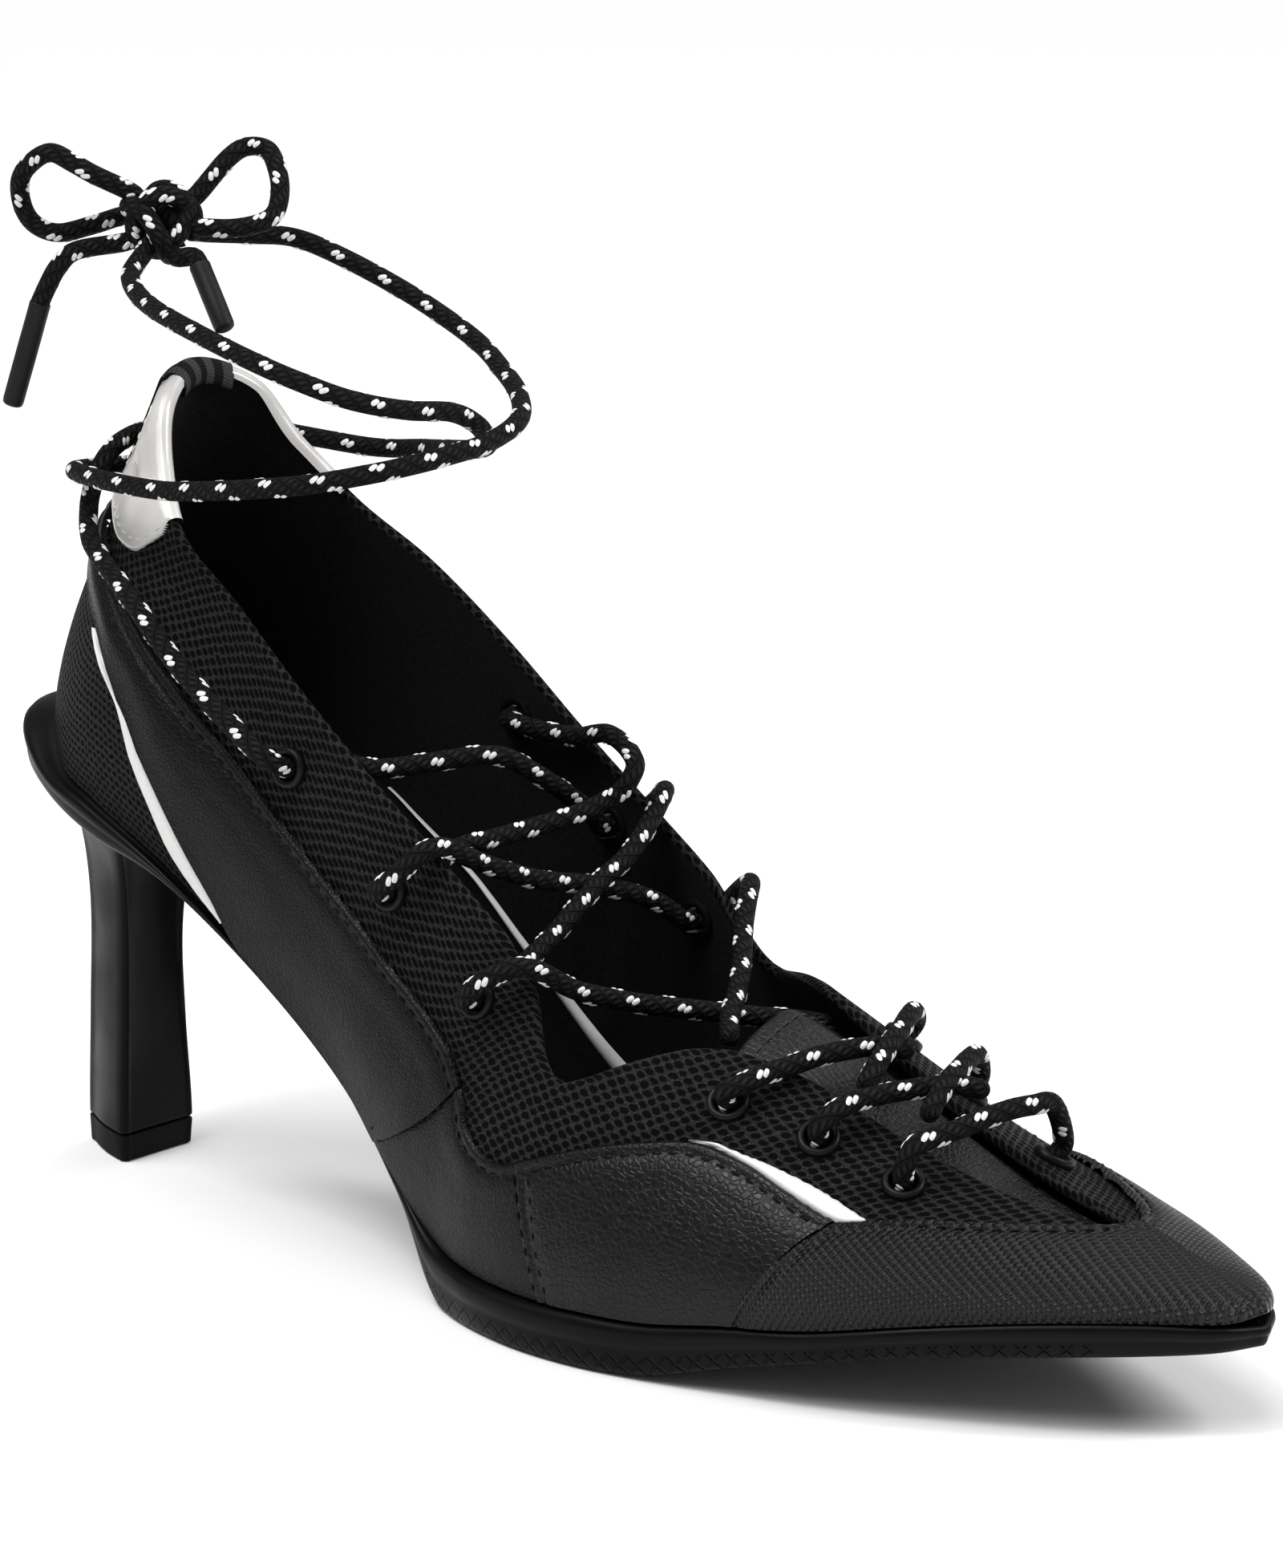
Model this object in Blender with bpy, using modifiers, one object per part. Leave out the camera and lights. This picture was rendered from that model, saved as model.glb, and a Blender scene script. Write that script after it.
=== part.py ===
"""Lace up heel, a right shoe: pointed pump with a low vamp, side lacing and an ankle tie.

Metres, +Z up, +X towards the toe, -Y the outer side of the foot. The origin is the
middle of the heel's top lift on the floor. The upper is worked out from ribs, numbered
0 at the back of the heel to 19 at the toe tip. A rib climbs from the feather line, where
the upper meets the sole, to the topline or, in the forefoot, to the ridge of the last.
"""
import math

import bmesh
import bpy
from mathutils import Matrix, Vector

# Driving dimensions of the last, in metres
LAST_LENGTH = 0.2275
HEEL_BACK = -0.005
HALF_BALL = 0.036
SEAT_HEIGHT = 0.078
COLLAR_HEIGHT = 0.1315

# Walls and clearances
GAP = 0.0003
WALL = 0.0018
OVERLAY_LIFT = 0.0005
OVERLAY_THICKNESS = 0.0010
INSOLE_THICKNESS = 0.0022
INSOLE_CLEARANCE = 0.0021
TONGUE_THICKNESS = 0.0014

# Sole rim, heel and top lift
LIP_OVERHANG = 0.0070
LIP_DROP = 0.0015
TOE_RECESS = 0.0002
TOE_RECESS_START = 17.0
RIM_STEP = 0.0008
HEEL_TIP_HALF_LENGTH = 0.0073
HEEL_TIP_HALF_WIDTH = 0.0079
LIFT_HEIGHT = 0.0043
BREAST_DISH = 0.0030
FLANGE_INSET = 0.0018
HEEL_OVERRUN = 0.0030

# Eyelets and lace
EYELET_FLANGE_RADIUS = 0.0032
EYELET_HOLE_RADIUS = 0.0021
EYELET_BARREL_WALL = 0.0004
EYELET_FLANGE_HEIGHT = 0.0008
EYELET_BEVEL = 0.0005
EYELET_SIDES = 9
LACE_DIAMETER = 0.0030
LACE_HOLE_END = 0.0006
LACE_BEND_HEIGHT = 0.0034
LACE_INSIDE_END = 0.0038
AGLET_DIAMETER = 0.0034

LAST_RIB = 19
ROWS = 7
MERGE = 0.00004

# Feather line: rib, share along the last, outer and inner half widths, seat height
FEATHER = [
    (0, 0.000, 0.000, 0.000, 1.000),
    (1, 0.015, 0.347, 0.347, 0.987),
    (2, 0.057, 0.597, 0.597, 0.895),
    (3, 0.110, 0.722, 0.722, 0.846),
    (4, 0.189, 0.750, 0.730, 0.737),
    (5, 0.268, 0.692, 0.660, 0.564),
    (6, 0.338, 0.670, 0.625, 0.392),
    (7, 0.391, 0.718, 0.635, 0.237),
    (8, 0.440, 0.786, 0.670, 0.132),
    (9, 0.488, 0.903, 0.750, 0.110),
    (10, 0.541, 0.989, 0.845, 0.108),
    (11, 0.593, 1.011, 0.930, 0.112),
    (12, 0.646, 0.972, 0.965, 0.117),
    (13, 0.703, 0.914, 0.940, 0.141),
    (14, 0.760, 0.833, 0.885, 0.160),
    (15, 0.831, 0.667, 0.750, 0.197),
    (16, 0.897, 0.467, 0.575, 0.222),
    (17, 0.949, 0.256, 0.400, 0.231),
    (18, 0.985, 0.083, 0.240, 0.231),
    (19, 1.000, -0.083, 0.083, 0.229),
]

# Upper ends of the ribs: rib, share along, outer and inner half spread, ridge offset,
# collar height
TOP = [
    (0, 0.099, 0.000, 0.000, 0.000, 1.000),
    (1, 0.114, 0.292, 0.292, 0.000, 0.970),
    (2, 0.136, 0.444, 0.444, 0.000, 0.897),
    (3, 0.169, 0.556, 0.600, 0.000, 0.825),
    (4, 0.229, 0.625, 0.670, 0.000, 0.760),
    (5, 0.295, 0.681, 0.700, 0.000, 0.677),
    (6, 0.365, 0.694, 0.694, 0.000, 0.586),
    (7, 0.426, 0.694, 0.694, 0.000, 0.510),
    (8, 0.475, 0.694, 0.694, 0.000, 0.449),
    (9, 0.514, 0.653, 0.653, 0.000, 0.403),
    (10, 0.554, 0.472, 0.472, 0.000, 0.402),
    (11, 0.598, 0.250, 0.250, 0.008, 0.411),
    (12, 0.646, 0.060, 0.060, 0.017, 0.398),
    (13, 0.699, 0.000, 0.000, 0.028, 0.357),
    (14, 0.756, 0.000, 0.000, 0.040, 0.304),
    (15, 0.831, 0.000, 0.000, 0.056, 0.245),
    (16, 0.897, 0.000, 0.000, 0.069, 0.209),
    (17, 0.949, 0.000, 0.000, 0.078, 0.177),
    (18, 0.982, 0.000, 0.000, 0.083, 0.158),
    (19, 0.996, 0.000, 0.000, 0.083, 0.150),
]

# Bulge of each rib, as shares of its rise: rib, low out, low up, high out, high down
BULGE = [
    (0, -0.06, 0.34, 0.12, 0.27),
    (1, -0.03, 0.34, 0.10, 0.27),
    (2, 0.01, 0.35, 0.09, 0.28),
    (3, 0.05, 0.35, 0.08, 0.30),
    (4, 0.07, 0.35, 0.06, 0.30),
    (5, 0.06, 0.35, 0.05, 0.30),
    (7, 0.06, 0.35, 0.06, 0.30),
    (8, 0.06, 0.36, 0.08, 0.28),
    (9, 0.045, 0.42, 0.12, 0.16),
    (10, 0.043, 0.40, 0.225, 0.11),
    (11, 0.046, 0.38, 0.33, 0.11),
    (12, 0.06, 0.39, 0.47, 0.10),
    (13, 0.07, 0.44, 0.55, 0.11),
    (14, 0.10, 0.46, 0.65, 0.15),
    (15, 0.167, 0.55, 0.81, 0.16),
    (16, 0.21, 0.55, 0.83, 0.15),
    (17, 0.28, 0.55, 0.73, 0.10),
    (18, 0.27, 0.60, 0.73, 0.00),
    (19, 0.00, 0.50, 0.00, 0.30),
]
FRONT_TURN_START = 8.0
FRONT_TURN_SPAN = 4.0
INNER_CREST_DROP = 0.12

# Opening of the upper: rib, outer and inner share of the rib that the upper covers
THROAT = [
    (0.0, 1.00, 1.00),
    (8.2, 1.00, 1.00),
    (8.6, 0.965, 0.965),
    (8.9, 0.93, 0.93),
    (9.25, 0.77, 0.86),
    (9.55, 0.65, 0.81),
    (9.8, 0.59, 0.78),
    (10.1, 0.565, 0.77),
    (10.4, 0.585, 0.785),
    (11.0, 0.65, 0.82),
    (11.5, 0.70, 0.85),
    (12.0, 0.73, 0.88),
    (13.0, 0.757, 0.915),
    (14.0, 0.78, 0.94),
    (15.0, 0.79, 0.96),
    (15.5, 0.80, 0.97),
    (15.8, 0.83, 0.98),
    (16.0, 0.88, 0.99),
    (16.2, 1.00, 1.00),
]
THROAT_FRONT = 16.2

# Eyelets: rib and share on the outer side, then on the inner side
EYELETS = [
    (5.11, 0.761, 5.19, 0.783),
    (6.49, 0.777, 6.48, 0.798),
    (8.10, 0.772, 7.95, 0.803),
    (12.34, 0.606, 12.70, 0.780),
    (13.44, 0.631, 13.75, 0.790),
    (14.36, 0.638, 14.80, 0.800),
]

# Sole: rib, overhang and drop of the rim, height of the underside
SOLE = [
    (0, 0.95, 1.00, 0.880),
    (1, 0.82, 0.90, 0.872),
    (2, 0.42, 0.60, 0.825),
    (3, 0.22, 0.40, 0.772),
    (4, 0.16, 0.25, 0.707),
    (5, 0.10, 0.20, 0.542),
    (6, 0.08, 0.20, 0.364),
    (7, 0.10, 0.20, 0.200),
    (8, 0.32, 0.20, 0.018),
    (9, 0.40, 0.20, 0.000),
    (10, 0.38, 0.20, 0.000),
    (11, 0.32, 0.20, 0.000),
    (12, 0.28, 0.20, 0.010),
    (13, 0.24, 0.20, 0.052),
    (14, 0.24, 0.20, 0.090),
    (15, 0.24, 0.20, 0.128),
    (16, 0.24, 0.20, 0.147),
    (17, 0.26, 0.25, 0.158),
    (18, 0.26, 0.40, 0.167),
    (19, 0.26, 0.60, 0.172),
]

# Side of the sole from its top edge down: share of the overhang, inset in rim steps,
# share of the height
RIM_PROFILE = [
    (0.55, 0.3, 0.00),
    (0.95, 0.0, 0.14),
    (1.00, 0.0, 0.42),
    (1.00, 0.8, 0.50),
    (1.00, 1.1, 0.86),
    (1.00, 2.3, 1.00),
]

# Heel column: share of the height, front and back in tip half lengths,
# front and back half widths in tip half widths, share of the breast's dish
HEEL = [
    (0.00, 1.00, -1.04, 1.02, 0.30, 0.0),
    (0.28, 0.96, -0.98, 0.91, 0.27, 0.2),
    (0.52, 0.96, -0.90, 0.86, 0.28, 0.5),
    (0.68, 1.08, -0.90, 1.00, 0.40, 0.8),
    (0.80, 1.38, -0.92, 1.40, 0.65, 1.0),
    (0.91, 1.90, -0.95, 2.05, 1.05, 1.0),
    (1.00, 2.50, -1.00, 2.60, 1.55, 1.1),
]

# Cover flange of the heel under the sole: rib, thickness
HEEL_FLANGE = [
    (2.2, 0.0016),
    (3.0, 0.0016),
    (3.5, 0.0015),
    (4.0, 0.0013),
    (4.5, 0.0010),
    (5.0, 0.0006),
]

# Overlays as strips of (low rib, low share, high rib, high share)
SIDE_BAND = [
    (0.60, 0.52, 0.60, 0.61),
    (1.20, 0.50, 1.10, 0.60),
    (1.80, 0.49, 1.60, 0.62),
    (2.40, 0.495, 2.20, 0.655),
    (2.97, 0.445, 2.90, 0.65),
    (3.33, 0.376, 3.50, 0.62),
    (3.68, 0.298, 3.95, 0.592),
    (4.03, 0.209, 4.50, 0.585),
    (4.27, 0.144, 5.10, 0.578),
    (4.50, 0.085, 5.70, 0.57),
    (4.78, 0.02, 6.20, 0.58),
    (5.40, 0.02, 6.70, 0.585),
    (6.00, 0.02, 7.25, 0.595),
    (6.40, 0.02, 7.87, 0.582),
    (6.65, 0.02, 8.42, 0.485),
]
FOREFOOT_PANEL = [
    (6.75, 0.02, 8.48, 0.455),
    (7.40, 0.02, 8.67, 0.39),
    (8.10, 0.02, 9.10, 0.333),
    (9.00, 0.02, 9.60, 0.335),
    (9.80, 0.02, 10.20, 0.375),
    (10.60, 0.02, 10.80, 0.415),
    (11.40, 0.02, 11.50, 0.453),
    (12.20, 0.02, 12.20, 0.475),
    (12.70, 0.02, 12.80, 0.455),
    (12.88, 0.02, 13.40, 0.43),
    (12.95, 0.02, 13.92, 0.40),
]
TOE_CAP = [
    (13.05, 0.02, 14.05, 0.395),
    (13.70, 0.02, 14.31, 0.445),
    (14.30, 0.02, 14.64, 0.505),
    (14.90, 0.02, 15.05, 0.575),
    (15.40, 0.02, 15.43, 0.655),
    (15.80, 0.02, 15.82, 0.755),
    (16.05, 0.02, 16.05, 0.86),
    (16.25, 0.02, 16.25, 1.00),
    (16.60, 0.02, 16.60, 1.00),
    (17.00, 0.02, 17.00, 1.00),
    (17.50, 0.02, 17.50, 1.00),
    (18.00, 0.02, 18.00, 1.00),
    (18.50, 0.02, 18.50, 1.00),
    (19.00, 0.02, 19.00, 1.00),
]
COLLAR_TAB = [
    (0.66, 0.93, 0.66, 0.99),
    (0.80, 0.80, 0.92, 0.99),
    (0.95, 0.68, 1.20, 0.99),
    (1.23, 0.645, 1.50, 0.99),
    (1.65, 0.678, 1.80, 0.99),
    (1.99, 0.72, 2.10, 0.99),
    (2.28, 0.767, 2.40, 0.99),
    (2.50, 0.85, 2.62, 0.99),
    (2.66, 0.93, 2.74, 0.985),
]
REAR_ACCENT = [
    (2.23, 0.485, 2.30, 0.489),
    (2.65, 0.443, 2.74, 0.445),
    (3.10, 0.395, 3.22, 0.393),
    (3.44, 0.285, 3.58, 0.302),
    (3.74, 0.190, 3.92, 0.215),
    (4.00, 0.105, 4.17, 0.148),
    (4.25, 0.055, 4.38, 0.090),
    (4.56, 0.045, 4.60, 0.050),
]
FRONT_ACCENT = [
    (12.25, 0.489, 12.22, 0.494),
    (12.80, 0.470, 12.75, 0.492),
    (13.40, 0.446, 13.30, 0.493),
    (13.92, 0.416, 13.72, 0.490),
    (14.06, 0.415, 14.05, 0.470),
]

# Tongue: rib, outer and inner share of its edges, depth below the last
TONGUE = [
    (12.10, 0.70, 0.84, 0.0050),
    (12.40, 0.68, 0.83, 0.0046),
    (12.90, 0.68, 0.83, 0.0041),
    (13.50, 0.70, 0.85, 0.0037),
    (14.20, 0.71, 0.86, 0.0033),
    (15.00, 0.73, 0.88, 0.0032),
    (15.60, 0.76, 0.90, 0.0031),
    (16.05, 0.80, 0.92, 0.0030),
]

# Pull ribbon over the back of the collar: share of the rib, 1 for outside or -1 inside
RIBBON_WIDTH_RIB = 0.58
RIBBON_PATH = [
    (0.64, 1),
    (0.76, 1),
    (0.88, 1),
    (0.985, 1),
    (0.985, -1),
    (0.90, -1),
]
RIBBON_THICKNESS = 0.0008
RIBBON_RISE = 0.0014

# Sizes of the last on which the lace routes were chosen
ROUTE_LAST_LENGTH = 0.2275
ROUTE_HALF_BALL = 0.036
ROUTE_COLLAR_HEIGHT = 0.1315

# Lace routes, chosen by hand. A strand leaves an eyelet on the outside or the inside of
# the upper, as (side, eyelet number, face), and either end may stop in the open instead.
LACE_STRANDS = {
    "lace_strand_outer_1": [
        (("outer", 1, "in"),
         [(0.0686, -0.0200, 0.0781), (0.0710, -0.0150, 0.0768), (0.0737, -0.0080, 0.0768),
          (0.0778, 0.0000, 0.0773), (0.0801, 0.0040, 0.0767), (0.0819, 0.0090, 0.0736),
          (0.0838, 0.0150, 0.0692), (0.0845, 0.0190, 0.0660)],
         ("inner", 2, "in")),
    ],
    "lace_strand_inner_1": [
        (("inner", 1, "in"),
         [(0.0703, 0.0209, 0.0772), (0.0763, 0.0208, 0.0770), (0.0812, 0.0205, 0.0774),
          (0.0868, 0.0200, 0.0788), (0.0910, 0.0195, 0.0776), (0.0941, 0.0184, 0.0754),
          (0.0943, 0.0170, 0.0732), (0.0930, 0.0160, 0.0710), (0.0913, 0.0140, 0.0696),
          (0.0902, 0.0110, 0.0685), (0.0886, 0.0070, 0.0677), (0.0867, 0.0000, 0.0668),
          (0.0863, -0.0060, 0.0666), (0.0855, -0.0120, 0.0664), (0.0856, -0.0175, 0.0648)],
         ("outer", 2, "in")),
    ],
    "lace_crossing_2": [
        (("outer", 2, "out"),
         [(0.0885, -0.0302, 0.0655), (0.0915, -0.0280, 0.0690), (0.0925, -0.0240, 0.0696),
          (0.0931, -0.0190, 0.0672), (0.0940, -0.0120, 0.0640), (0.0950, -0.0040, 0.0611),
          (0.0969, 0.0050, 0.0591), (0.0986, 0.0115, 0.0570), (0.1001, 0.0170, 0.0545)],
         ("inner", 3, "in")),
        (("inner", 2, "out"),
         [(0.0884, 0.0298, 0.0665), (0.0915, 0.0285, 0.0690), (0.0945, 0.0245, 0.0692),
          (0.0960, 0.0200, 0.0665), (0.0975, 0.0130, 0.0625), (0.0978, 0.0060, 0.0597),
          (0.0987, 0.0000, 0.0572), (0.0994, -0.0050, 0.0549), (0.1002, -0.0100, 0.0530),
          (0.1015, -0.0160, 0.0514)],
         ("outer", 3, "in")),
    ],
    "lace_crossing_3": [
        (("outer", 3, "out"),
         [(0.1065, -0.0308, 0.0525), (0.1100, -0.0285, 0.0548), (0.1120, -0.0245, 0.0540),
          (0.1139, -0.0180, 0.0500), (0.1182, -0.0090, 0.0470), (0.1234, -0.0010, 0.0452),
          (0.1294, 0.0050, 0.0441), (0.1350, 0.0085, 0.0438), (0.1385, 0.0098, 0.0436)],
         None),
        (("inner", 3, "out"),
         [(0.1055, 0.0302, 0.0550), (0.1090, 0.0285, 0.0570), (0.1122, 0.0240, 0.0560),
          (0.1155, 0.0190, 0.0530), (0.1209, 0.0120, 0.0494), (0.1249, 0.0060, 0.0468),
          (0.1285, 0.0000, 0.0448), (0.1330, -0.0055, 0.0438)],
         None),
    ],
    "lace_crossing_4": [
        (("outer", 4, "out"),
         [(0.1495, -0.0215, 0.0434), (0.1505, -0.0185, 0.0442), (0.1520, -0.0150, 0.0448),
          (0.1540, -0.0105, 0.0458), (0.1562, -0.0060, 0.0462), (0.1580, -0.0020, 0.0462),
          (0.1596, 0.0025, 0.0450)],
         None),
        (("inner", 4, "out"),
         [(0.1542, 0.0115, 0.0480), (0.1565, 0.0070, 0.0482), (0.1585, 0.0025, 0.0476),
          (0.1603, -0.0025, 0.0466), (0.1618, -0.0075, 0.0446), (0.1622, -0.0098, 0.0430)],
         None),
    ],
    "lace_crossing_5": [
        (("outer", 5, "out"),
         [(0.1626, -0.0176, 0.0406), (0.1636, -0.0145, 0.0416), (0.1650, -0.0115, 0.0420),
          (0.1670, -0.0080, 0.0424), (0.1695, -0.0040, 0.0427), (0.1715, 0.0000, 0.0424),
          (0.1730, 0.0030, 0.0414)],
         None),
        (("inner", 5, "out"),
         [(0.1668, 0.0105, 0.0438), (0.1683, 0.0060, 0.0442), (0.1698, 0.0020, 0.0440),
          (0.1712, -0.0025, 0.0434), (0.1722, -0.0060, 0.0420), (0.1727, -0.0085, 0.0404)],
         None),
    ],
    "lace_bar_front": [
        (("outer", 6, "out"),
         [(0.1758, -0.0159, 0.0376), (0.1772, -0.0130, 0.0386), (0.1789, -0.0095, 0.0394),
          (0.1804, -0.0055, 0.0404), (0.1818, -0.0015, 0.0410), (0.1828, 0.0025, 0.0410),
          (0.1832, 0.0070, 0.0402)],
         ("inner", 6, "out")),
    ],
}
TIE_ROUTES = {
    "ankle_tie_outer": [
        (0.0625, -0.0310, 0.0800), (0.0554, -0.0315, 0.0845), (0.0482, -0.0312, 0.0890),
        (0.0414, -0.0306, 0.0935), (0.0343, -0.0292, 0.0985), (0.0255, -0.0262, 0.1028),
        (0.0168, -0.0222, 0.1063), (0.0116, -0.0176, 0.1102), (0.0104, -0.0152, 0.1140),
        (0.0106, -0.0125, 0.1180), (0.0092, -0.0070, 0.1199), (0.0084, 0.0000, 0.1206),
        (0.0108, 0.0090, 0.1205), (0.0160, 0.0165, 0.1195), (0.0314, 0.0255, 0.1170),
        (0.0420, 0.0262, 0.1178), (0.0532, 0.0215, 0.1195), (0.0640, 0.0150, 0.1215),
        (0.0722, 0.0090, 0.1240), (0.0765, 0.0020, 0.1282), (0.0775, -0.0050, 0.1312),
        (0.0765, -0.0140, 0.1325), (0.0730, -0.0225, 0.1347), (0.0665, -0.0280, 0.1378),
        (0.0580, -0.0292, 0.1402), (0.0480, -0.0280, 0.1423), (0.0380, -0.0250, 0.1437),
        (0.0293, -0.0210, 0.1446), (0.0211, -0.0160, 0.1457), (0.0152, -0.0110, 0.1472),
    ],
    "ankle_tie_inner": [
        (0.0640, 0.0305, 0.0800), (0.0560, 0.0312, 0.0850), (0.0480, 0.0308, 0.0905),
        (0.0400, 0.0300, 0.0960), (0.0310, 0.0280, 0.1015), (0.0215, 0.0248, 0.1060),
        (0.0130, 0.0198, 0.1095), (0.0084, 0.0125, 0.1122), (0.0060, 0.0045, 0.1140),
        (0.0052, -0.0050, 0.1149), (0.0056, -0.0142, 0.1157), (0.0106, -0.0214, 0.1166),
        (0.0240, -0.0255, 0.1172), (0.0379, -0.0275, 0.1176), (0.0490, -0.0290, 0.1190),
        (0.0590, -0.0292, 0.1205), (0.0685, -0.0272, 0.1220), (0.0755, -0.0220, 0.1236),
        (0.0785, -0.0160, 0.1245), (0.0803, -0.0090, 0.1254), (0.0806, 0.0000, 0.1264),
        (0.0782, 0.0095, 0.1284), (0.0700, 0.0185, 0.1305), (0.0615, 0.0240, 0.1330),
        (0.0546, 0.0270, 0.1356), (0.0469, 0.0280, 0.1387), (0.0384, 0.0262, 0.1430),
        (0.0300, 0.0215, 0.1478), (0.0239, 0.0170, 0.1508), (0.0190, 0.0120, 0.1514),
    ],
    "bow_loop_left": [
        (0.0053, -0.0090, 0.1617), (0.0027, -0.0110, 0.1635), (-0.0002, -0.0130, 0.1651),
        (-0.0036, -0.0140, 0.1633), (-0.0062, -0.0140, 0.1604),
        (-0.0069, -0.0130, 0.1563), (-0.0058, -0.0115, 0.1532), (-0.0030, -0.0090, 0.1518),
        (0.0010, -0.0055, 0.1530),
    ],
    "bow_loop_right": [
        (0.0165, 0.0095, 0.1634), (0.0179, 0.0125, 0.1652), (0.0208, 0.0142, 0.1648),
        (0.0238, 0.0132, 0.1621), (0.0256, 0.0120, 0.1589),
        (0.0264, 0.0100, 0.1557), (0.0255, 0.0075, 0.1542), (0.0225, 0.0045, 0.1534),
    ],
    "lace_end_left": [
        (0.0025, -0.0105, 0.1496), (0.0004, -0.0125, 0.1470),
        (-0.0010, -0.0135, 0.1440), (-0.0022, -0.0140, 0.1414),
    ],
    "lace_end_right": [
        (0.0193, -0.0012, 0.1492), (0.0206, -0.0013, 0.1482),
    ],
}
AGLETS = {
    "aglet_left": [(-0.0023, -0.0140, 0.1410), (-0.0071, -0.0160, 0.1246)],
    "aglet_right": [(0.0209, -0.0014, 0.1478), (0.0279, -0.0030, 0.1387)],
}
KNOT_CENTRE = (0.0117, 0.0, 0.1541)
KNOT_RADII = (0.0052, 0.0046, 0.0050)
KNOT_GAP = 0.00035
KNOT_APPROACH = 0.0020
# Directions in which the laces leave the knot, at the start and at the end of a route
KNOT_ENDS = {
    "ankle_tie_outer": (None, (0.13, -0.77, -0.63)),
    "ankle_tie_inner": (None, (0.35, 0.88, -0.32)),
    "bow_loop_left": ((-0.45, -0.60, 0.66), (-0.965, -0.26, 0.05)),
    "bow_loop_right": ((0.36, 0.73, 0.58), (0.96, 0.26, -0.09)),
    "lace_end_left": ((-0.55, -0.70, -0.45), None),
    "lace_end_right": ((0.65, -0.31, -0.69), None),
}
CORD_STEP = 0.0090
CORD_SAG = 0.00055

COLOURS = {
    "leather": (0.012, 0.012, 0.013, 0.42, 0.0),
    "mesh": (0.010, 0.010, 0.011, 0.85, 0.0),
    "rubber": (0.014, 0.014, 0.015, 0.55, 0.0),
    "white": (0.83, 0.83, 0.81, 0.18, 0.0),
    "lining": (0.008, 0.008, 0.008, 0.95, 0.0),
    "metal": (0.012, 0.012, 0.012, 0.35, 0.6),
    "lace": (0.015, 0.015, 0.015, 0.80, 0.0),
}


def clear_scene():
    for item in list(bpy.data.objects):
        bpy.data.objects.remove(item, do_unlink=True)


def new_collection(name):
    group = bpy.data.collections.new(name)
    bpy.context.scene.collection.children.link(group)
    return group


def smooth_column(rows, column, rib):
    """Read one column of a rib table on a smooth curve through its rows."""
    rib = min(max(rib, rows[0][0]), rows[-1][0])
    index = 0
    while index < len(rows) - 2 and rib > rows[index + 1][0]:
        index += 1

    def slope(row):
        if row == 0:
            return 0.0
        low = rows[row - 1]
        high = rows[min(row + 1, len(rows) - 1)]
        return (high[column] - low[column]) / (high[0] - low[0])

    start, end = rows[index], rows[index + 1]
    span = end[0] - start[0]
    t = (rib - start[0]) / span
    a, b = start[column], end[column]
    m, n = slope(index) * span, slope(index + 1) * span
    return (a * (2 * t**3 - 3 * t**2 + 1) + m * (t**3 - 2 * t**2 + t)
            + b * (3 * t**2 - 2 * t**3) + n * (t**3 - t**2))


def odd_column(rows, column, rib):
    """The same for a width, which starts straight out from the back centre."""
    if rib >= rows[1][0]:
        return smooth_column(rows, column, rib)
    first, second = rows[1], rows[2]
    span = first[0] - rows[0][0]
    start = first[column] / span
    end = second[column] / (second[0] - rows[0][0])
    t = rib / span
    return (first[column] * (3 * t**2 - 2 * t**3) + start * span * (t**3 - 2 * t**2 + t)
            + end * span * (t**3 - t**2))


def straight_column(rows, column, rib):
    """Read one column of a table on straight lines between its rows."""
    rib = min(max(rib, rows[0][0]), rows[-1][0])
    for low, high in zip(rows, rows[1:]):
        if rib <= high[0]:
            share = (rib - low[0]) / (high[0] - low[0])
            return low[column] + share * (high[column] - low[column])
    return rows[-1][column]


def feather(rib, side):
    """Point where the upper meets the sole; side is -1 outer, 1 inner."""
    column = 2 if side < 0 else 3
    return Vector((HEEL_BACK + LAST_LENGTH * smooth_column(FEATHER, 1, rib),
                   side * HALF_BALL * odd_column(FEATHER, column, rib),
                   SEAT_HEIGHT * smooth_column(FEATHER, 4, rib)))


def rib_top(rib, side):
    """Upper end of a rib, on the topline or the ridge."""
    spread = odd_column(TOP, 2 if side < 0 else 3, rib)
    return Vector((HEEL_BACK + LAST_LENGTH * smooth_column(TOP, 1, rib),
                   HALF_BALL * (smooth_column(TOP, 4, rib) + side * spread),
                   COLLAR_HEIGHT * smooth_column(TOP, 5, rib)))


def outward(rib, side):
    """Level unit vector that points out of the feather line."""
    if rib < 0.05:
        return Vector((-1.0, 0.0, 0.0))
    if rib > LAST_RIB - 0.05:
        return Vector((1.0, 0.0, 0.0))
    step = 0.05
    along = feather(rib + step, side) - feather(rib - step, side)
    return Vector((-along.y * side, along.x * side, 0.0)).normalized()


def surface(rib, share, side):
    """Point of the last at a share of the way up a rib."""
    low = feather(rib, side)
    high = rib_top(rib, side)
    rise = high.z - low.z
    out_low, up_low, out_high, down_high = (smooth_column(BULGE, c, rib) for c in range(1, 5))
    out = outward(rib, side)
    turn = min(max((rib - FRONT_TURN_START) / FRONT_TURN_SPAN, 0.0), 1.0)
    turn = turn * turn * (3 - 2 * turn)
    out_top = (out * (1 - turn) + Vector((0.0, side, 0.0)) * turn).normalized()
    near = low + out * (out_low * rise) + Vector((0, 0, up_low * rise))
    if side > 0:
        down_high += INNER_CREST_DROP * turn * min((LAST_RIB - rib) / 3, 1.0)
    far = high + out_top * (out_high * rise) - Vector((0, 0, down_high * rise))
    t = share
    return (low * (1 - t)**3 + near * (3 * t * (1 - t)**2)
            + far * (3 * t * t * (1 - t)) + high * t**3)


def surface_normal(rib, share, side):
    """Unit normal that points out of the last."""
    step = 0.04
    along = surface(rib + step, share, side) - surface(rib - step, share, side)
    up = surface(rib, min(share + step, 1.0), side) - surface(rib, max(share - step, 0.0), side)
    return (along.cross(up) * -side).normalized()


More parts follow.
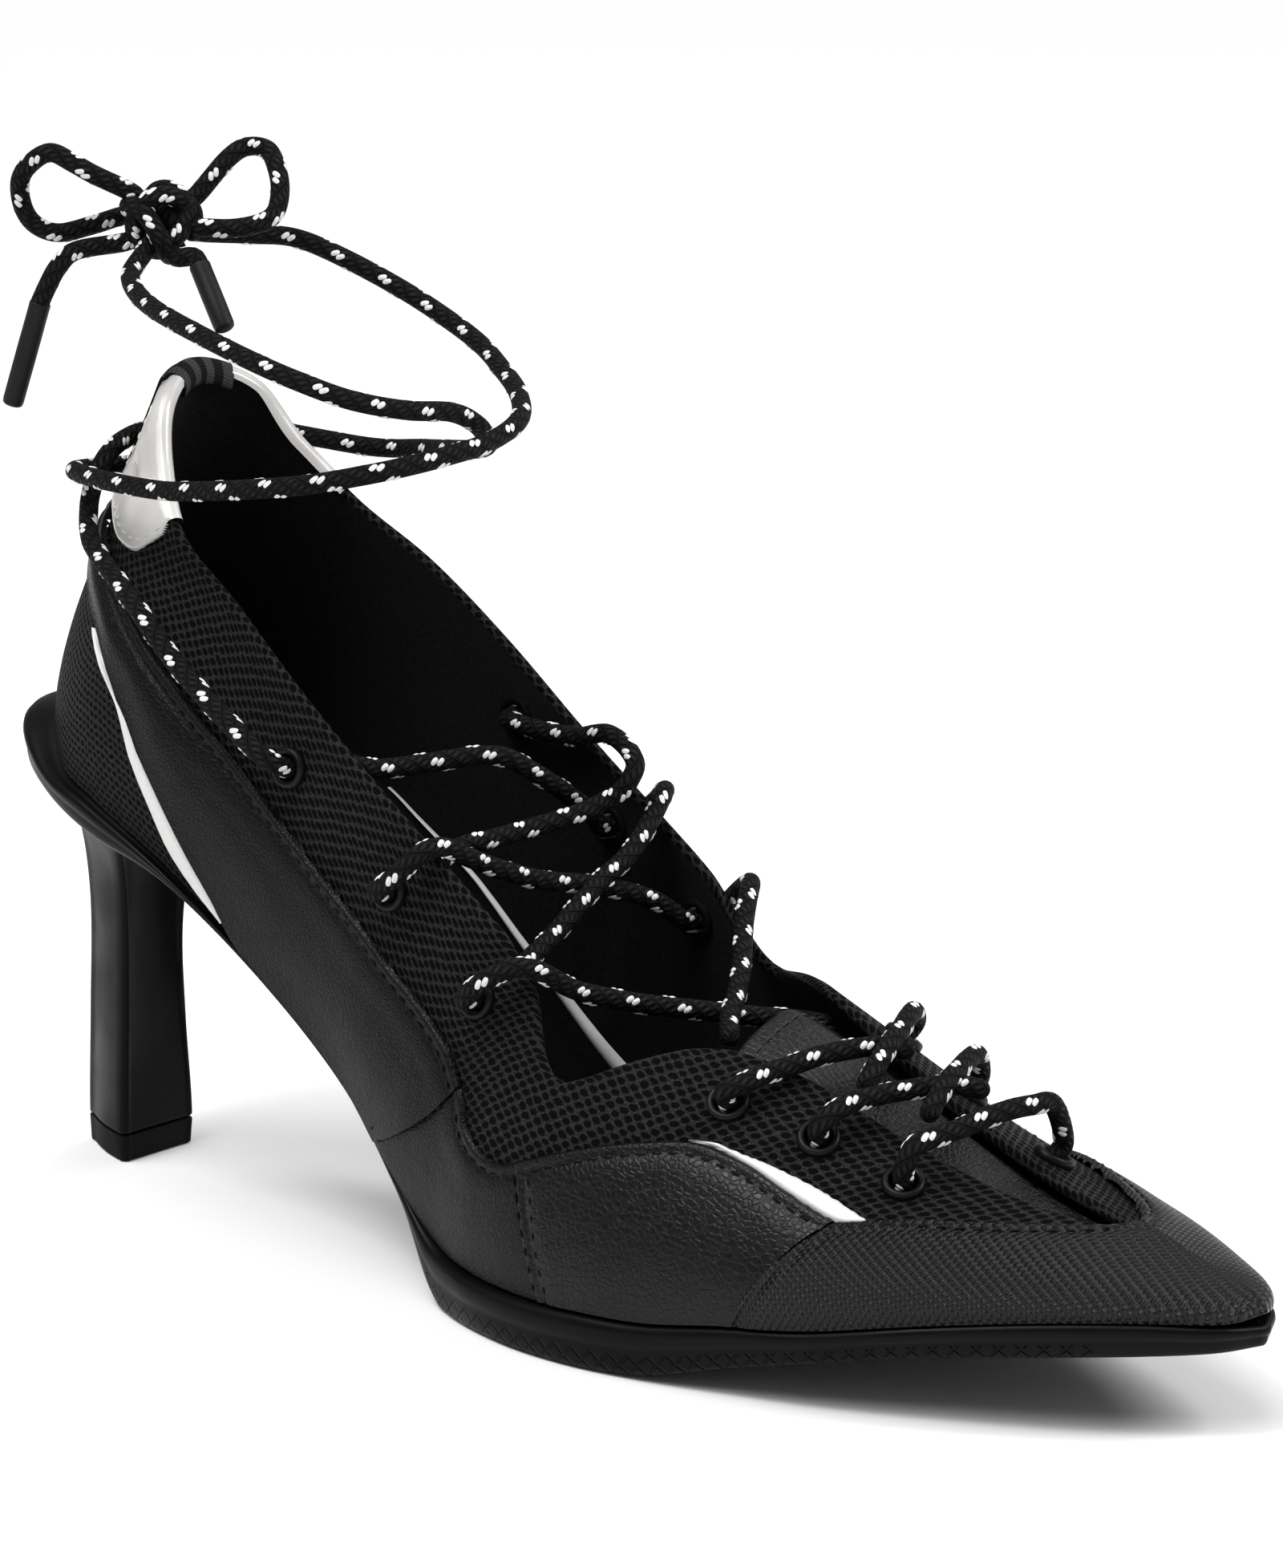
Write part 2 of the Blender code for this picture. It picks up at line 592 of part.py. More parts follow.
def material(name, finish):
    shade = bpy.data.materials.new(name)
    shade.use_nodes = True
    red, green, blue, rough, metal = COLOURS[finish]
    shader = shade.node_tree.nodes["Principled BSDF"]
    shader.inputs["Base Color"].default_value = (red, green, blue, 1.0)
    shader.inputs["Roughness"].default_value = rough
    shader.inputs["Metallic"].default_value = metal
    return shade


def add_object(name, mesh, finish, group):
    item = bpy.data.objects.new(name, mesh)
    item.data.materials.append(material(name + "_finish", finish))
    group.objects.link(item)
    return item


def bmesh_to_mesh(shape, name, merge=MERGE):
    bmesh.ops.remove_doubles(shape, verts=shape.verts, dist=merge)
    loose = [v for v in shape.verts if not v.link_faces]
    bmesh.ops.delete(shape, geom=loose, context="VERTS")
    mesh = bpy.data.meshes.new(name)
    shape.to_mesh(mesh)
    shape.free()
    for polygon in mesh.polygons:
        polygon.use_smooth = True
    mesh.set_sharp_from_angle(angle=math.radians(35))
    return mesh


def add_grid(shape, rows, flip):
    """Quads between rows of points; flip turns their faces round."""
    verts = [[shape.verts.new(p) for p in row] for row in rows]
    for low, high in zip(verts, verts[1:]):
        for i in range(len(low) - 1):
            quad = (low[i], high[i], high[i + 1], low[i + 1])
            shape.faces.new(quad[::-1] if flip else quad)


def skin(name, grids, lift, thickness, finish, group):
    """Shell over both sides: grids of (rows, side), lifted off the last and thickened."""
    shape = bmesh.new()
    for rows, side in grids:
        add_grid(shape, rows, side > 0)
    bmesh.ops.remove_doubles(shape, verts=shape.verts, dist=MERGE)
    shape.normal_update()
    moves = [(v, v.normal.copy()) for v in shape.verts]
    for vert, normal in moves:
        vert.co += normal * lift
    item = add_object(name, bmesh_to_mesh(shape, name), finish, group)
    solid = item.modifiers.new("thickness", "SOLIDIFY")
    solid.thickness = abs(thickness)
    solid.offset = 1.0 if thickness > 0 else -1.0
    solid.use_quality_normals = True
    return item


def strip_rows(table, side, count):
    """Rows of points across a strip given by its low and high edge."""
    rows = []
    for low_rib, low_share, high_rib, high_share in table:
        row = []
        for i in range(count + 1):
            t = i / count
            row.append(surface(low_rib + t * (high_rib - low_rib),
                               low_share + t * (high_share - low_share), side))
        rows.append(row)
    return rows


def strip_overlay(name, table, side, count, finish, group):
    return skin(name, [(strip_rows(table, side, count), side)],
                OVERLAY_LIFT, OVERLAY_THICKNESS, finish, group)


def upper_ribs():
    """Stations of the upper: every half rib, and each corner of the opening."""
    halves = {0.5 * i for i in range(2, 2 * LAST_RIB + 1)} - {7.5, 12.5, 13.5, 14.5}
    corners = {row[0] for row in THROAT}
    return sorted({0.0, 0.4, 0.7} | halves | corners)


def make_upper(group, tools):
    grids = []
    for side in (-1, 1):
        column = 1 if side < 0 else 2
        rows = []
        for rib in upper_ribs():
            cover = straight_column(THROAT, column, rib)
            rows.append([surface(rib, cover * i / ROWS, side) for i in range(ROWS + 1)])
        grids.append((rows, side))
    upper = skin("upper", grids, 0.0, -WALL, "mesh", group)
    shape = bmesh.new()
    radius = EYELET_HOLE_RADIUS + EYELET_BARREL_WALL + GAP
    for number, side, place in eyelet_places():
        made = bmesh.ops.create_cone(shape, cap_ends=True, segments=EYELET_SIDES, radius1=radius,
                                     radius2=radius, depth=4 * WALL)
        bmesh.ops.transform(shape, matrix=place, verts=made["verts"])
    cutter = bpy.data.objects.new("eyelet_hole_cutter", bmesh_to_mesh(shape, "holes"))
    tools.objects.link(cutter)
    cutter.hide_render = True
    cutter.display_type = "WIRE"
    cut = upper.modifiers.new("eyelet_holes", "BOOLEAN")
    cut.operation = "DIFFERENCE"
    cut.solver = "EXACT"
    cut.object = cutter


def eyelet_places():
    """Number, side and placing matrix of each eyelet, its axis along the normal."""
    places = []
    for number, row in enumerate(EYELETS, start=1):
        for side, rib, share in ((-1, row[0], row[1]), (1, row[2], row[3])):
            axis = surface_normal(rib, share, side)
            turn = axis.to_track_quat("Z", "Y").to_matrix().to_4x4()
            places.append((number, side, Matrix.Translation(surface(rib, share, side)) @ turn))
    return places


def make_eyelets(group):
    hole = EYELET_HOLE_RADIUS
    barrel = hole + EYELET_BARREL_WALL
    flange = EYELET_FLANGE_RADIUS
    low = OVERLAY_LIFT
    high = low + EYELET_FLANGE_HEIGHT
    profile = [(barrel, -WALL - GAP), (barrel, low), (flange, low),
               (flange - EYELET_BEVEL, high), (hole, high), (hole, -WALL - GAP)]
    shape = bmesh.new()
    verts = [shape.verts.new((r, 0.0, h)) for r, h in profile]
    loop = [shape.edges.new((a, b)) for a, b in zip(verts, verts[1:] + verts[:1])]
    bmesh.ops.spin(shape, geom=verts + loop, axis=(0, 0, 1), cent=(0, 0, 0),
                   steps=EYELET_SIDES, angle=math.tau, use_merge=True)
    bmesh.ops.remove_doubles(shape, verts=shape.verts, dist=MERGE)
    bmesh.ops.recalc_face_normals(shape, faces=shape.faces)
    mesh = bmesh_to_mesh(shape, "eyelet")
    for number, side, place in eyelet_places():
        name = "eyelet_{}_{}".format("outer" if side < 0 else "inner", number)
        add_object(name, mesh.copy(), "metal", group).matrix_world = place


def sole_rim(rib, side):
    """Points down the side of the sole at one rib, from inside the upper to below."""
    base = feather(rib, side)
    out = outward(rib, side)
    overhang = LIP_OVERHANG * smooth_column(SOLE, 1, rib)
    drop = LIP_DROP * smooth_column(SOLE, 2, rib)
    bottom = SEAT_HEIGHT * max(smooth_column(SOLE, 3, rib), 0.0)
    top = base.z - drop
    recess = TOE_RECESS * max(rib - TOE_RECESS_START, 0.0)
    points = [base - Vector((0, 0, GAP + recess))]
    for reach, inset, share in RIM_PROFILE:
        point = base + out * (reach * overhang - inset * RIM_STEP)
        point.z = top - GAP + share * (bottom - top + GAP)
        points.append(point)
    return points


def loft_sections(name, sections, finish, group):
    """Closed solid through rings of points; rings at the ends may be flat lines."""
    shape = bmesh.new()
    rings = [[shape.verts.new(p) for p in ring] for ring in sections]
    for a, b in zip(rings, rings[1:]):
        for i in range(len(a)):
            j = (i + 1) % len(a)
            shape.faces.new((a[i], a[j], b[j], b[i]))
    for ring in (rings[0], rings[-1]):
        spread = max((v.co - ring[0].co).xy.length for v in ring)
        if spread > MERGE and ring is rings[0]:
            shape.faces.new(ring[::-1])
        elif spread > MERGE:
            shape.faces.new(ring)
    bmesh.ops.remove_doubles(shape, verts=shape.verts, dist=MERGE)
    bmesh.ops.dissolve_degenerate(shape, dist=MERGE, edges=shape.edges)
    bmesh.ops.recalc_face_normals(shape, faces=shape.faces)
    return add_object(name, bmesh_to_mesh(shape, name), finish, group)


def sole_ribs():
    return sorted({0.0, 0.4, 0.7} | {0.5 * i for i in range(2, 2 * LAST_RIB + 1)} - {14.5, 16.5})


def make_outsole(group):
    sections = []
    for rib in sole_ribs():
        outer = sole_rim(rib, -1)
        inner = sole_rim(rib, 1)
        sections.append(outer + inner[::-1])
    return loft_sections("outsole", sections, "rubber", group)


def make_insole(group):
    ribs = [1.0, 1.4] + [0.5 * i for i in range(4, 33)]
    sections = []
    for rib in ribs:
        edges = []
        for side in (-1, 1):
            edge = feather(rib, side)
            edge.y -= side * (WALL + INSOLE_CLEARANCE) / max(abs(outward(rib, side).y), 0.5)
            edges.append(edge)
        outer, inner = edges
        low = Vector((0, 0, GAP))
        high = Vector((0, 0, GAP + INSOLE_THICKNESS))
        sections.append([outer + high, outer + low, inner + low, inner + high])
    return loft_sections("insole", sections, "lining", group)


def underside(x):
    """Lowest height of the sole's underside at a place along the shoe."""
    heights = []
    for side in (-1, 1):
        low, high = 0.0, 9.0
        for _ in range(30):
            middle = (low + high) / 2
            if sole_rim(middle, side)[-1].x < x:
                low = middle
            else:
                high = middle
        heights.append(sole_rim(low, side)[-1].z)
    return min(heights)


def heel_ring(row, base):
    """One ring of the heel column; its height is a share of the way to the sole."""
    share, front, back, front_half, back_half, dish = row
    front *= HEEL_TIP_HALF_LENGTH
    back *= HEEL_TIP_HALF_LENGTH
    front_half *= HEEL_TIP_HALF_WIDTH
    back_half *= HEEL_TIP_HALF_WIDTH
    dish *= BREAST_DISH
    half = [(front - dish, 0.0), (front - 0.75 * dish, 0.55 * front_half),
            (front, 0.86 * front_half), (front - 0.0008, front_half),
            (0.5 * (front + back), 0.62 * front_half + 0.42 * back_half),
            (back + 0.0016, back_half), (back, 0.45 * back_half)]
    outline = half + [(x, -y) for x, y in half[:0:-1]]
    return [Vector((x, y, base + share * (underside(x) + HEEL_OVERRUN - base)))
            for x, y in outline]


def make_cutter(name, sections, tools):
    cutter = loft_sections(name, sections, "rubber", tools)
    cutter.hide_render = True
    cutter.display_type = "WIRE"
    return cutter


def add_boolean(item, operation, other):
    cut = item.modifiers.new(other.name, "BOOLEAN")
    cut.operation = operation
    cut.solver = "EXACT"
    cut.object = other


def make_heel(group, tools):
    """Column and cover flange joined, then trimmed to the underside of the sole."""
    base = LIFT_HEIGHT + GAP
    column = loft_sections("heel", [heel_ring(row, base) for row in HEEL], "rubber", group)
    flange = []
    for rib, thickness in HEEL_FLANGE:
        outer, inner = sole_rim(rib, -1)[-1], sole_rim(rib, 1)[-1]
        edge = (outer - inner).normalized() * FLANGE_INSET
        low = Vector((0, 0, GAP + thickness))
        high = Vector((0, 0, HEEL_OVERRUN))
        flange.append([outer - edge + high, outer - edge - low,
                       inner + edge - low, inner + edge + high])
    trim = []
    for rib in sole_ribs():
        if rib > 7.0:
            break
        outer, inner = sole_rim(rib, -1)[-1], sole_rim(rib, 1)[-1]
        edge = Vector((0.0, 2 * LIP_OVERHANG, 0.0))
        low = Vector((0, 0, GAP))
        high = Vector((0, 0, 4 * HEEL_OVERRUN))
        trim.append([outer - edge + high, outer - edge - low, outer - low,
                     inner - low, inner + edge - low, inner + edge + high])
    first = [p - Vector((2 * LIP_OVERHANG, 0.0, 0.0)) for p in trim[0]]
    add_boolean(column, "UNION", make_cutter("heel_flange_shape", flange, tools))
    add_boolean(column, "DIFFERENCE", make_cutter("sole_clearance", [first] + trim, tools))


def make_top_lift(group):
    row = HEEL[0]
    ring = heel_ring(row, 0.0)
    top = [Vector((p.x, p.y, LIFT_HEIGHT)) for p in ring]
    bottom = [Vector((p.x * 0.97, p.y * 0.97, 0.0)) for p in ring]
    return loft_sections("heel_top_lift", [bottom, top], "rubber", group)


def make_tongue(group):
    grids = []
    count = 6
    for side in (-1, 1):
        column = 1 if side < 0 else 2
        rows = []
        for row in TONGUE:
            rib, edge, depth = row[0], row[column], row[3]
            crest = (surface(rib, 1.0, -1) + surface(rib, 1.0, 1)) / 2
            crest_normal = surface_normal(rib, 0.96, -1)
            crest_normal.y = 0.0
            points = []
            for i in range(count):
                t = i / count
                share = edge + (1 - edge) * t
                normal = surface_normal(rib, min(share, 0.96), side).lerp(crest_normal, t * t)
                points.append(surface(rib, share, side) - normal.normalized() * depth)
            points.append(crest - crest_normal.normalized() * depth)
            rows.append(points)
        grids.append((rows, side))
    skin("tongue", grids, 0.0, -TONGUE_THICKNESS, "leather", group)


def make_overlays(group):
    for side, word in ((-1, "outer"), (1, "inner")):
        strip_overlay("side_band_" + word, SIDE_BAND, side, 5, "leather", group)
        strip_overlay("forefoot_panel_" + word, FOREFOOT_PANEL, side, 4, "leather", group)
        strip_overlay("collar_tab_" + word, COLLAR_TAB, side, 4, "white", group)
        strip_overlay("rear_accent_" + word, REAR_ACCENT, side, 1, "white", group)
        strip_overlay("front_accent_" + word, FRONT_ACCENT, side, 1, "white", group)
    grids = [(strip_rows(TOE_CAP, side, ROWS), side) for side in (-1, 1)]
    skin("toe_cap", grids, OVERLAY_LIFT, OVERLAY_THICKNESS, "leather", group)


def make_pull_ribbon(group):
    """Ribbon that runs up the back seam, over the collar and down inside."""
    columns = [(-1, RIBBON_WIDTH_RIB), (-1, 0.3), (-1, 0.0), (1, 0.3), (1, RIBBON_WIDTH_RIB)]
    rows = []
    for side, rib in columns:
        row = []
        for share, face in RIBBON_PATH:
            offset = OVERLAY_LIFT if face > 0 else -WALL - 4 * GAP
            normal = surface_normal(max(rib, 0.05), min(share, 0.9), side)
            if rib == 0.0:
                normal.y = 0.0
                normal.normalize()
            point = surface(rib, share, side) + normal * offset
            if share > 0.95:
                point.z += RIBBON_RISE
            row.append(point)
        rows.append(row)
    shape = bmesh.new()
    add_grid(shape, rows, False)
    bmesh.ops.recalc_face_normals(shape, faces=shape.faces)
    shape.faces.ensure_lookup_table()
    if shape.faces[0].normal.x > 0:
        bmesh.ops.reverse_faces(shape, faces=shape.faces)
    item = add_object("pull_ribbon", bmesh_to_mesh(shape, "pull_ribbon"), "lace", group)
    solid = item.modifiers.new("thickness", "SOLIDIFY")
    solid.thickness = RIBBON_THICKNESS
    solid.offset = 1.0


def smooth_route(route):
    """Evenly spaced points on a smooth curve through a hand chosen route."""
    points = [Vector(p) for p in route]
    padded = [points[0] * 2 - points[1]] + points + [points[-1] * 2 - points[-2]]
    fine = []
    for a, b, c, d in zip(padded, padded[1:], padded[2:], padded[3:]):
        for i in range(8):
            t = i / 8
            fine.append(0.5 * (2 * b + (c - a) * t + (2 * a - 5 * b + 4 * c - d) * t * t
                               + (3 * b - a - 3 * c + d) * t**3))
    fine.append(points[-1])
    return fine


def spaced(points, step):
    """Keep points of a fine line a step apart, and closer where the line bends."""
    kept = [points[0]]
    start = 0
    for end in range(2, len(points)):
        first, last = points[start], points[end]
        along = (last - first).normalized()
        skipped = points[start + 1:end]
        sag = max((p - first - along * (p - first).dot(along)).length for p in skipped)
        if sag > CORD_SAG or (last - first).length > step:
            kept.append(points[end - 1])
            start = end - 1
    kept.append(points[-1])
    return kept


def cord_curve(name, points, diameter):
    curve = bpy.data.curves.new(name, "CURVE")
    curve.dimensions = "3D"
    curve.bevel_depth = diameter / 2
    curve.bevel_resolution = 2
    curve.use_fill_caps = True
    line = curve.splines.new("POLY")
    line.points.add(len(points) - 1)
    for target, point in zip(line.points, points):
        target.co = (*point, 1.0)
    return curve


def make_cord(name, route, diameter, finish, group):
    points = [Vector(p) for p in route]
    if len(points) > 2:
        points = spaced(smooth_route(points), CORD_STEP)
    return add_object(name, cord_curve(name, points, diameter), finish, group)


def cord_mesh(name, route, group):
    """A stretch of lace as a closed mesh, for joining."""
    item = make_cord(name, route, LACE_DIAMETER, "lace", group)
    bpy.context.view_layer.update()
    solid = item.evaluated_get(bpy.context.evaluated_depsgraph_get())
    mesh = bpy.data.meshes.new_from_object(solid)
    shape = bmesh.new()
    shape.from_mesh(mesh)
    bmesh.ops.remove_doubles(shape, verts=shape.verts, dist=MERGE)
    bmesh.ops.recalc_face_normals(shape, faces=shape.faces)
    shape.to_mesh(mesh)
    shape.free()
    bpy.data.objects.remove(item, do_unlink=True)
    return mesh


def eyelet_end(end):
    """Points of a lace at an eyelet, from the hole outwards."""
    if end is None:
        return []
    side_name, number, face = end
    side = -1 if side_name == "outer" else 1
    row = EYELETS[number - 1]
    rib, share = (row[0], row[1]) if side < 0 else (row[2], row[3])
    base = surface(rib, share, side)
    axis = surface_normal(rib, share, side)
    if face == "in":
        return [base - axis * LACE_INSIDE_END]
    return [base + axis * LACE_HOLE_END, base + axis * LACE_BEND_HEIGHT]


def on_last(point):
    """A point of a hand chosen route, moved with the last that it was chosen on."""
    x, y, z = point
    return Vector((HEEL_BACK + (x - HEEL_BACK) * LAST_LENGTH / ROUTE_LAST_LENGTH,
                   y * HALF_BALL / ROUTE_HALF_BALL,
                   z * COLLAR_HEIGHT / ROUTE_COLLAR_HEIGHT))


def strand_route(strand):
    """Whole route of a strand, eyelet to eyelet."""
    start, middle, end = strand
    return eyelet_end(start) + [on_last(p) for p in middle] + eyelet_end(end)[::-1]


def make_lace_strands(group, tools):
    for name, strands in LACE_STRANDS.items():
        routes = [strand_route(strand) for strand in strands]
        bar = add_object(name, cord_mesh(name, routes[0], group), "lace", group)
        for index, route in enumerate(routes[1:]):
            other = bpy.data.objects.new(name + "_joined", cord_mesh(name, route, group))
            tools.objects.link(other)
            other.hide_render = True
            other.display_type = "WIRE"
            join = bar.modifiers.new("crossing_{}".format(index), "BOOLEAN")
            join.operation = "UNION"
            join.solver = "EXACT"
            join.object = other


def knot_end(direction):
    """Points of a lace from the knot's surface outwards along a direction."""
    if direction is None:
        return []
    along = Vector(direction).normalized()
    reach = 1 / math.sqrt(sum((part / radius)**2 for part, radius in zip(along, KNOT_RADII)))
    start = Vector(KNOT_CENTRE) + along * (reach + KNOT_GAP)
    return [start, start + along * KNOT_APPROACH]


def make_ankle_tie(group):
    for name, route in TIE_ROUTES.items():
        start, end = KNOT_ENDS[name]
        whole = knot_end(start) + route + knot_end(end)[::-1]
        make_cord(name, whole, LACE_DIAMETER, "lace", group)
    for name, route in AGLETS.items():
        make_cord(name, route, AGLET_DIAMETER, "rubber", group)
    shape = bmesh.new()
    bmesh.ops.create_icosphere(shape, subdivisions=2, radius=1.0)
    bmesh.ops.scale(shape, vec=KNOT_RADII, verts=shape.verts)
    bmesh.ops.translate(shape, vec=KNOT_CENTRE, verts=shape.verts)
    add_object("bow_knot", bmesh_to_mesh(shape, "bow_knot"), "lace", group)


def build():
    clear_scene()
    group = new_collection("lace_up_heel")
    tools = new_collection("cutters")
    make_outsole(group)
    make_heel(group, tools)
    make_top_lift(group)
    make_upper(group, tools)
    make_insole(group)
    make_tongue(group)
    make_overlays(group)
    make_pull_ribbon(group)
    make_eyelets(group)
    make_lace_strands(group, tools)
    make_ankle_tie(group)


build()
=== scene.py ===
"""Looks of the lace up heel: camera, light, materials and the detailed pieces.

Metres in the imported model's frame: +X towards the toe, +Z up, -Y the outer side. The
pieces lie on the same last as the solids: ribs 0 at the back to 19 at the toe tip, and a
share from the sole's edge, 0, up to the topline or the ridge, 1.
"""

import math

import bmesh
import bpy
import numpy as np
from mathutils import Matrix, Vector


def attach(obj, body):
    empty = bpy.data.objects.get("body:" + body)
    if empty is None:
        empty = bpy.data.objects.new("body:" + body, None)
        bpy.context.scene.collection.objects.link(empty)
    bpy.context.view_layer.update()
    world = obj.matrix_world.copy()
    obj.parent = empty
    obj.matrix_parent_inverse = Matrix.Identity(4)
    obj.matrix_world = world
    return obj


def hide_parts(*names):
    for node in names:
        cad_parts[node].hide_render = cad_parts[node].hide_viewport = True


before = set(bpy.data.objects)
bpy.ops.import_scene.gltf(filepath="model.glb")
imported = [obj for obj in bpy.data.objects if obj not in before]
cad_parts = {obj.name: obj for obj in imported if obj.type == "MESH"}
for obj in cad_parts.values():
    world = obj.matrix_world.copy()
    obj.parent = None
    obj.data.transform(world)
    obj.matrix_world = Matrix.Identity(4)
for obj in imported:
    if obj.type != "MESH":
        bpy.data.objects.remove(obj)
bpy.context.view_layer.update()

# The last, as in the source of the solids
LAST_LENGTH = 0.2275
HEEL_BACK = -0.005
HALF_BALL = 0.036
SEAT_HEIGHT = 0.078
COLLAR_HEIGHT = 0.1315
GAP = 0.0003
WALL = 0.0018
LAST_RIB = 19.0
FRONT_TURN_START = 8.0
FRONT_TURN_SPAN = 4.0
INNER_CREST_DROP = 0.12
LIP_OVERHANG = 0.0070
LIP_DROP = 0.0015
HEEL_TIP_HALF_LENGTH = 0.0073
HEEL_TIP_HALF_WIDTH = 0.0079
LIFT_HEIGHT = 0.0043
BREAST_DISH = 0.0030
FLANGE_INSET = 0.0018
HEEL_OVERRUN = 0.0015
PANEL_LIFT = 0.00125
TAB_LIFT = 0.0011
LACE_RADIUS = 0.00152
LACE_STEP = 0.0006
LACE_SIDES = 16
LACE_CAP = 5
SHORTEST_CORD = 0.03
TOP_NORMAL_SHARE = 0.97
STITCH_INSET = 0.0019
TONGUE_STITCH_INSET = 0.0022
RIBBON_STRIPE_SHIFT = 0.2
EYELET_HOLE_RADIUS = 0.0024
RIM_INSET = 0.0008
RIM_LAST_INSET = 2.3
TREAD_START = 7.9
TREAD_END = 18.3
RIM_TREAD_END = 16.5
RIM_TREAD_ROW = 10
STITCH_SIDES = 6
STITCH_START = 0.0004
STITCH_LINE_STEP = 0.02
MM = 1000

FEATHER = [
    (0, 0.000, 0.000, 0.000, 1.000), (1, 0.015, 0.347, 0.347, 0.987),
    (2, 0.057, 0.597, 0.597, 0.895), (3, 0.110, 0.722, 0.722, 0.846),
    (4, 0.189, 0.750, 0.730, 0.737), (5, 0.268, 0.692, 0.660, 0.564),
    (6, 0.338, 0.670, 0.625, 0.392), (7, 0.391, 0.718, 0.635, 0.237),
    (8, 0.440, 0.786, 0.670, 0.132), (9, 0.488, 0.903, 0.750, 0.110),
    (10, 0.541, 0.989, 0.845, 0.108), (11, 0.593, 1.011, 0.930, 0.112),
    (12, 0.646, 0.972, 0.965, 0.117), (13, 0.703, 0.914, 0.940, 0.141),
    (14, 0.760, 0.833, 0.885, 0.160), (15, 0.831, 0.667, 0.750, 0.197),
    (16, 0.897, 0.467, 0.575, 0.222), (17, 0.949, 0.256, 0.400, 0.231),
    (18, 0.985, 0.083, 0.240, 0.231), (19, 1.000, -0.083, 0.083, 0.229),
]
TOP = [
    (0, 0.099, 0.000, 0.000, 0.000, 1.000), (1, 0.114, 0.292, 0.292, 0.000, 0.970),
    (2, 0.136, 0.444, 0.444, 0.000, 0.897), (3, 0.169, 0.556, 0.600, 0.000, 0.825),
    (4, 0.229, 0.625, 0.670, 0.000, 0.760), (5, 0.295, 0.681, 0.700, 0.000, 0.677),
    (6, 0.365, 0.694, 0.694, 0.000, 0.586), (7, 0.426, 0.694, 0.694, 0.000, 0.510),
    (8, 0.475, 0.694, 0.694, 0.000, 0.449), (9, 0.514, 0.653, 0.653, 0.000, 0.403),
    (10, 0.554, 0.472, 0.472, 0.000, 0.402), (11, 0.598, 0.250, 0.250, 0.008, 0.411),
    (12, 0.646, 0.060, 0.060, 0.017, 0.398), (13, 0.699, 0.000, 0.000, 0.028, 0.357),
    (14, 0.756, 0.000, 0.000, 0.040, 0.304), (15, 0.831, 0.000, 0.000, 0.056, 0.245),
    (16, 0.897, 0.000, 0.000, 0.069, 0.209), (17, 0.949, 0.000, 0.000, 0.078, 0.177),
    (18, 0.982, 0.000, 0.000, 0.083, 0.158), (19, 0.996, 0.000, 0.000, 0.083, 0.150),
]
BULGE = [
    (0, -0.06, 0.34, 0.12, 0.27), (1, -0.03, 0.34, 0.10, 0.27), (2, 0.01, 0.35, 0.09, 0.28),
    (3, 0.05, 0.35, 0.08, 0.30), (4, 0.07, 0.35, 0.06, 0.30), (5, 0.06, 0.35, 0.05, 0.30),
    (7, 0.06, 0.35, 0.06, 0.30), (8, 0.06, 0.36, 0.08, 0.28), (9, 0.045, 0.42, 0.12, 0.16),
    (10, 0.043, 0.40, 0.225, 0.11), (11, 0.046, 0.38, 0.33, 0.11), (12, 0.06, 0.39, 0.47, 0.10),
    (13, 0.07, 0.44, 0.55, 0.11), (14, 0.10, 0.46, 0.65, 0.15), (15, 0.167, 0.55, 0.81, 0.16),
    (16, 0.21, 0.55, 0.83, 0.15), (17, 0.28, 0.55, 0.73, 0.10), (18, 0.27, 0.60, 0.73, 0.00),
    (19, 0.00, 0.50, 0.00, 0.30),
]
THROAT = [
    (0.0, 1.00, 1.00), (8.2, 1.00, 1.00), (8.6, 0.965, 0.965), (8.9, 0.93, 0.93),
    (9.25, 0.77, 0.86), (9.55, 0.65, 0.81), (9.8, 0.59, 0.78), (10.1, 0.565, 0.77),
    (10.4, 0.585, 0.785), (11.0, 0.65, 0.82), (11.5, 0.70, 0.85), (12.0, 0.73, 0.88),
    (13.0, 0.757, 0.915), (14.0, 0.78, 0.94), (15.0, 0.79, 0.96), (15.5, 0.80, 0.97),
    (15.8, 0.83, 0.98), (16.0, 0.88, 0.99), (16.2, 1.00, 1.00), (19.0, 1.00, 1.00),
]
THROAT_FRONT = 16.2
THROAT_BACK = 8.1
EYELETS = [
    (5.11, 0.761, 5.19, 0.783), (6.49, 0.777, 6.48, 0.798), (8.10, 0.772, 7.95, 0.803),
    (12.34, 0.606, 12.70, 0.780), (13.44, 0.631, 13.75, 0.790), (14.36, 0.638, 14.80, 0.800),
]
SOLE = [
    (0, 0.95, 1.00, 0.880), (1, 0.82, 0.90, 0.872), (2, 0.42, 0.60, 0.825),
    (3, 0.22, 0.40, 0.772), (4, 0.16, 0.25, 0.707), (5, 0.10, 0.20, 0.542),
    (6, 0.08, 0.20, 0.364), (7, 0.10, 0.20, 0.200), (8, 0.32, 0.20, 0.018),
    (9, 0.40, 0.20, 0.000), (10, 0.38, 0.20, 0.000), (11, 0.32, 0.20, 0.000),
    (12, 0.28, 0.20, 0.010), (13, 0.24, 0.20, 0.052), (14, 0.24, 0.20, 0.090),
    (15, 0.24, 0.20, 0.128), (16, 0.24, 0.20, 0.147), (17, 0.26, 0.25, 0.158),
    (18, 0.26, 0.40, 0.167), (19, 0.26, 0.60, 0.172),
]
HEEL = [
    (0.00, 1.00, -1.04, 1.02, 0.30, 0.0), (0.28, 0.96, -0.98, 0.91, 0.27, 0.2),
    (0.52, 0.96, -0.90, 0.86, 0.28, 0.5), (0.68, 1.08, -0.90, 1.00, 0.40, 0.8),
    (0.80, 1.38, -0.92, 1.40, 0.65, 1.0), (0.91, 1.90, -0.95, 2.05, 1.05, 1.0),
    (1.00, 2.50, -1.00, 2.60, 1.55, 1.1),
]
